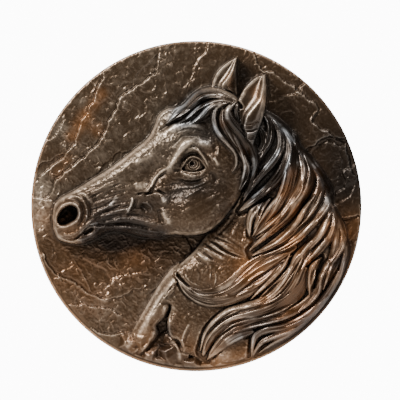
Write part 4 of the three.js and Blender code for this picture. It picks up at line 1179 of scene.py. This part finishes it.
def meshRegion(name, cells):
    cells = cells & cellOn
    i, j = np.nonzero(cells)
    quad = np.stack([index[i, j], index[i, j + 1], index[i + 1, j + 1], index[i + 1, j]], axis=1)
    h = height.ravel()
    split = np.abs(h[quad[:, 0]] - h[quad[:, 2]]) <= np.abs(h[quad[:, 1]] - h[quad[:, 3]])
    one = np.where(split[:, None], quad[:, [0, 2, 1]], quad[:, [0, 3, 1]])
    two = np.where(split[:, None], quad[:, [0, 3, 2]], quad[:, [1, 3, 2]])
    faces = np.vstack([one, two])
    # walls from the region's border down into the disc
    edges = np.vstack([faces[:, [0, 1]], faces[:, [1, 2]], faces[:, [2, 0]]])
    code = edges[:, 0] * across * across + edges[:, 1]
    back = edges[:, 1] * across * across + edges[:, 0]
    border = edges[~np.isin(code, back)]
    used = np.unique(faces)
    rim = np.unique(border)
    place = np.full(across * across, -1)
    place[used] = np.arange(len(used))
    foot = np.full(across * across, -1)
    foot[rim] = len(used) + np.arange(len(rim))
    top = spots.reshape(-1, 3)[used]
    low = spots.reshape(-1, 3)[rim].copy()
    low[:, 1] = rootY
    points = np.vstack([top, low])
    p, q = border[:, 0], border[:, 1]
    upper = np.stack([place[q], place[p], foot[p]], 1)
    lower = np.stack([place[q], foot[p], foot[q]], 1)
    walls = np.vstack([upper, lower])
    triangles = np.vstack([place[faces], walls])
    mesh = bpy.data.meshes.new(name)
    mesh.vertices.add(len(points))
    mesh.vertices.foreach_set("co", points.astype(np.float32).ravel())
    mesh.loops.add(triangles.size)
    mesh.loops.foreach_set("vertex_index", triangles.astype(np.int32).ravel())
    mesh.polygons.add(len(triangles))
    mesh.polygons.foreach_set("loop_start", np.arange(0, triangles.size, 3, dtype=np.int32))
    mesh.polygons.foreach_set("use_smooth", np.ones(len(triangles), bool))
    mesh.update(calc_edges=True)
    for key, field in masks.items():
        values = np.concatenate([field.ravel()[used], field.ravel()[rim]]).astype(np.float32)
        attribute = mesh.attributes.new(key, "FLOAT", "POINT")
        attribute.data.foreach_set("value", values)
    low = np.where(atRim.ravel()[rim][:, None], outward.reshape(-1, 3)[rim], normals.reshape(-1, 3)[rim])
    allNormals = np.vstack([normals.reshape(-1, 3)[used], low])
    mesh.normals_split_custom_set_from_vertices(allNormals.astype(np.float32))
    piece = bpy.data.objects.new(name, mesh)
    bpy.context.scene.collection.objects.link(piece)
    print(name, len(triangles), "triangles")
    return piece


# shader helper

class Socket:
    # wraps a node's output so that plain arithmetic adds Math nodes
    def __init__(self, tree, link):
        self.tree, self.link = tree, link

    def math(self, operation, *values):
        node = self.tree.nodes.new("ShaderNodeMath")
        node.operation = operation
        for slot, value in zip(node.inputs, values):
            if isinstance(value, Socket):
                self.tree.links.new(value.link, slot)
            else:
                slot.default_value = value
        return Socket(self.tree, node.outputs[0])

    def __add__(self, other):
        return self.math("ADD", self, other)

    def __radd__(self, other):
        return self.math("ADD", other, self)

    def __sub__(self, other):
        return self.math("SUBTRACT", self, other)

    def __rsub__(self, other):
        return self.math("SUBTRACT", other, self)

    def __mul__(self, other):
        return self.math("MULTIPLY", self, other)

    def __rmul__(self, other):
        return self.math("MULTIPLY", other, self)

    def __pow__(self, other):
        return self.math("POWER", self, other)

    def low(self, other):
        return self.math("MINIMUM", self, other)

    def high(self, other):
        return self.math("MAXIMUM", self, other)


class Paint:
    # one material's node tree
    def __init__(self, name):
        self.material = bpy.data.materials.new(name)
        self.material.use_nodes = True
        self.tree = self.material.node_tree
        self.shader = self.tree.nodes["Principled BSDF"]

    def node(self, kind, settings=None, output=0, **values):
        made = self.tree.nodes.new("ShaderNode" + kind)
        for key, value in (settings or {}).items():
            setattr(made, key, value)
        for key, value in values.items():
            # i6 means the seventh input, for nodes that have several of one name
            slot = made.inputs[int(key[1:])] if key[0] == "i" and key[1:].isdigit() else made.inputs[key]
            if isinstance(value, Socket):
                self.tree.links.new(value.link, slot)
            else:
                slot.default_value = value
        return Socket(self.tree, made.outputs[output])

    def blend(self, amount, first, second):
        first, second = (c if isinstance(c, Socket) else (*c, 1) for c in (first, second))
        return self.node("Mix", {"data_type": "RGBA"}, 2, i0=amount, i6=first, i7=second)

    def feed(self, **inputs):
        for key, value in inputs.items():
            slot = self.shader.inputs[key.replace("_", " ")]
            if isinstance(value, Socket):
                self.tree.links.new(value.link, slot)
            else:
                slot.default_value = value


bronze = {
    "deep": (0.0065, 0.005, 0.0038),
    "brown": (0.052, 0.0284, 0.0126),
    "grey": (0.070, 0.049, 0.031),
    "rust": (0.25, 0.096, 0.025),
    "copper": (0.70, 0.37, 0.18),
    # bloom is a dry grey bloom and also the colour of painted highlights
    "bloomAndHighlight": (0.76, 0.62, 0.48),
    # a bluish grey for painted sheen on highlights where the patina is darkest
    "paintedBluishSheen": (0.58, 0.60, 0.62),
    "metallic": 0.7,
    "roughness": 0.38,
    "patchScale": 30.0,
    "speckScale": 170.0,
    "pitScale": 900.0,
    "bloomSpecks": 0.16,     # share of pale specks on the grey metal
    "darkCover": 0.85,       # how far the dark tone and the hollows hide what is under them
    "hollowCover": 0.86,
    "coat": 0.4,
    "coatRoughness": 0.2,
    "bumpStrength": 0.5,
    "bumpDepth": 0.0008,
}


def bronzeMaterial():
    paint = Paint("bronze")
    place = paint.node("TexCoord", output=3)
    fields = [paint.node("Attribute", {"attribute_name": name}, 2) for name in masks]
    cavity, crest, rubAndHighlight, warm, paleBloomAndLight, darkPatinaAndShade, gloss = fields
    broad = paint.node("TexNoise", Vector=place, Scale=bronze["patchScale"], Detail=4.0)
    fine = paint.node("TexNoise", Vector=place, Scale=bronze["speckScale"], Detail=5.0)
    pits = paint.node("TexNoise", Vector=place, Scale=bronze["pitScale"], Detail=3.0)
    patches = paint.node("MapRange", Value=broad, i1=0.35, i2=0.65)
    specks = paint.node("MapRange", Value=fine, i1=0.45, i2=0.75)
    # the pale tone turns the brown grey: bloom, and painted light on lit faces
    base = paint.blend(paleBloomAndLight, bronze["brown"], bronze["grey"])
    base = paint.blend(warm * (patches * 0.5 + 0.4), base, bronze["rust"])
    base = paint.blend(paleBloomAndLight * specks * bronze["bloomSpecks"], base, bronze["bloomAndHighlight"])
    # the dark tone covers the base: darker patina, and painted shade
    base = paint.blend(darkPatinaAndShade * bronze["darkCover"], base, bronze["deep"])
    grains = paint.node("MapRange", Value=pits, i1=0.42, i2=0.62)
    # the rubbed colour is worn copper and bloom, and also the colour of painted highlights
    rubbedAndHighlit = paint.blend(warm * 0.7 + 0.1, bronze["bloomAndHighlight"], bronze["copper"])
    # where the patina is darkest the painted highlights turn bluish: a painted sheen
    rubbedAndHighlit = paint.blend(((darkPatinaAndShade - 0.38) * 1.7).high(0.0).low(1.0), rubbedAndHighlit, bronze["paintedBluishSheen"])
    # wear is rubbed metal on ridges and in rubbed places, and also painted highlight
    wear = (crest**1.3 * (specks * 0.5 + 0.35)).low(1.0) * (1 - darkPatinaAndShade * 0.95)
    wear = wear.high(rubAndHighlight * (specks * 0.4 + grains * 0.3 + 0.4)).low(1.0)
    colour = paint.blend(wear, base, rubbedAndHighlit)
    colour = paint.blend(cavity.low(1.0) ** 0.9 * bronze["hollowCover"], colour, bronze["deep"])
    bump = paint.node("Bump", Strength=bronze["bumpStrength"], Distance=bronze["bumpDepth"],
                      Height=pits * 0.3 + fine)
    paint.feed(Base_Color=colour, Metallic=bronze["metallic"] - wear * 0.35, Normal=bump,
               Coat_Weight=gloss * bronze["coat"] * (1 - darkPatinaAndShade * 0.8), Coat_Roughness=bronze["coatRoughness"],
               Roughness=bronze["roughness"] - gloss * 0.12 + cavity * 0.25 + (fine - 0.5) * 0.25)
    return paint.material


bronzeMetal = bronzeMaterial()
for name, cells in regions.items():
    piece = meshRegion(name, cells)
    piece.data.materials.append(bronzeMetal)
    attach(piece, "root")
    if name == "horseHead":
        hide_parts("plaque")
print("relief meshed")

# the disc's side and back, with the hanging keyhole

keyhole = {"entry": 12.0, "slot": 6.0, "slide": 16.0, "depth": 9.0, "lip": 3.0, "x": 12.4, "z": 103.0}
discSide = {"facets": 180, "chamfer": 1.0, "stepIn": 0.6, "overlap": 0.1}


def keyholeArc(size, start, end, rise=0.0):
    # half a turn about the entry, or about the top of the slot where rise is its slide
    return [(keyhole["x"] + size * math.cos(t), keyhole["z"] + rise + size * math.sin(t))
            for t in np.linspace(start, end, 13)]


def discBody():
    facets = discSide["facets"]
    form = bmesh.new()
    rings = []
    # the relief has its own side walls down to wallRoot: this body is the side below them,
    # and steps in behind them
    wallFoot = plaque["wallRoot"] - discSide["overlap"]
    inner = radius - discSide["stepIn"]
    side = [(inner, plaque["thickness"] - plaque["edgeRound"]), (inner, wallFoot), (radius, wallFoot),
            (radius, discSide["chamfer"]), (radius - discSide["chamfer"], 0.0)]
    around = [2 * math.pi * k / facets for k in range(facets)]
    for r, h in side:
        rings.append([form.verts.new((r * math.sin(t) / 1000, -h / 1000, r * math.cos(t) / 1000))
                      for t in around])
    for one, two in zip(rings, rings[1:]):
        for k in range(facets):
            form.faces.new((one[k], one[(k + 1) % facets], two[(k + 1) % facets], two[k]))
    half, entry = keyhole["slot"] / 2, keyhole["entry"] / 2
    turn = math.asin(half / entry)
    hole = keyholeArc(half, 0, math.pi, keyhole["slide"])
    hole += [(keyhole["x"] + entry * math.sin(t), keyhole["z"] + entry * math.cos(t))
             for t in np.linspace(-turn, turn - 2 * math.pi, 25)]

    def ring(outline, h):
        return [form.verts.new((px / 1000, -h / 1000, pz / 1000)) for px, pz in outline]

    mouth, lip = ring(hole, 0.0), ring(hole, keyhole["lip"])
    for k in range(len(hole)):
        n = (k + 1) % len(hole)
        form.faces.new((mouth[k], mouth[n], lip[n], lip[k]))
    pocket = keyholeArc(entry, 0, math.pi, keyhole["slide"]) + keyholeArc(entry, math.pi, 2 * math.pi)
    roof, floor = ring(pocket, keyhole["lip"]), ring(pocket, keyhole["depth"])
    for k in range(len(pocket)):
        n = (k + 1) % len(pocket)
        form.faces.new((roof[k], roof[n], floor[n], floor[k]))
    form.faces.new(floor)

    def filled(*loops):
        edges = []
        for loop in loops:
            for p, q in zip(loop, loop[1:] + loop[:1]):
                edges.append(form.edges.get((p, q)) or form.edges.new((p, q)))
        bmesh.ops.triangle_fill(form, use_beauty=True, use_dissolve=False, edges=edges)

    filled(rings[-1], mouth)
    filled(roof, lip)
    bmesh.ops.recalc_face_normals(form, faces=form.faces)
    mesh = bpy.data.meshes.new("discBack")
    form.to_mesh(mesh)
    form.free()
    return mesh


backTones = {**dict.fromkeys(masks, 0.1), "warm": 0.4}
mesh = discBody()
for key, value in backTones.items():
    attribute = mesh.attributes.new(key, "FLOAT", "POINT")
    attribute.data.foreach_set("value", np.full(len(mesh.vertices), value, np.float32))
disc = bpy.data.objects.new("discBack", mesh)
bpy.context.scene.collection.objects.link(disc)
disc.data.materials.append(bronzeMetal)
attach(disc, "root")
print("disc closed at the back")

# studio

studio = {
    "ambient": 0.09,
    "white": 12.0,     # strength of the background where the camera sees it
    "lens": 450.0,
    "sensor": 36,
    "floor": {"size": 2.2, "drop": -0.35, "end": 0.95, "colour": (0.8, 0.8, 0.79, 1), "roughness": 0.7},
    # each lamp: place, size, power, colour
    "lamps": {
        "keyLight": ((-0.95, -0.95, 1.05), 0.45, 62, (1, 0.97, 0.93)),
        "topLight": ((0.35, -0.40, 1.2), 0.5, 20, (1, 1, 1)),
        "fillLight": ((1.2, -0.9, -0.3), 0.7, 5, (1, 1, 1)),
    },
    "aim": (0, -0.03, 0),
}


def plainFloor():
    mesh = bpy.data.meshes.new("floor")
    size, drop, end = (studio["floor"][key] for key in ("size", "drop", "end"))
    corners = [(-size, -size, drop), (size, -size, drop), (size, end, drop), (-size, end, drop)]
    mesh.from_pydata(corners, [], [(0, 1, 2, 3)])
    floor = bpy.data.objects.new("floor", mesh)
    bpy.context.scene.collection.objects.link(floor)
    paint = Paint("paleFloor")
    paint.feed(Base_Color=studio["floor"]["colour"], Roughness=studio["floor"]["roughness"])
    mesh.materials.append(paint.material)


def softLight(name, place, size, power, colour):
    data = bpy.data.lights.new(name, "AREA")
    data.shape, data.size, data.energy, data.color = "DISK", size, power, colour
    lamp = bpy.data.objects.new(name, data)
    lamp.location = place
    lamp.rotation_euler = (Vector(studio["aim"]) - Vector(place)).to_track_quat("-Z", "Y").to_euler()
    bpy.context.scene.collection.objects.link(lamp)


plainFloor()
for name, lamp in studio["lamps"].items():
    softLight(name, *lamp)

world = bpy.data.worlds.new("studio")
bpy.context.scene.world = world
world.use_nodes = True
nodes, links = world.node_tree.nodes, world.node_tree.links
backdrop = nodes["Background"]
backdrop.inputs["Color"].default_value = (1, 1, 1, 1)
seen = nodes.new("ShaderNodeLightPath")
strength = nodes.new("ShaderNodeMapRange")
strength.inputs["To Min"].default_value = studio["ambient"]
strength.inputs["To Max"].default_value = studio["white"]
links.new(seen.outputs["Is Camera Ray"], strength.inputs["Value"])
links.new(strength.outputs[0], backdrop.inputs["Strength"])

data = bpy.data.cameras.new("camera")
data.lens, data.sensor_width = studio["lens"], studio["sensor"]
camera = bpy.data.objects.new("camera", data)
bpy.context.scene.collection.objects.link(camera)
bpy.context.scene.camera = camera
# the photograph is 400 wide and high; the disc's edge has a radius of 165.2 about (196.3, 206.1) in it
view = {"size": 400, "centre": (196.3, 206.1), "radius": 165.2}
distance = view["size"] / 1000 * studio["lens"] / studio["sensor"] * radius / view["radius"]
rimFront = (plaque["thickness"] - plaque["edgeRound"]) / 1000
camera.location = ((view["size"] / 2 - view["centre"][0]) / 1000, -distance - rimFront,
                   (view["centre"][1] - view["size"] / 2) / 1000)
camera.rotation_euler = (math.pi / 2, 0, 0)
print("studio set")
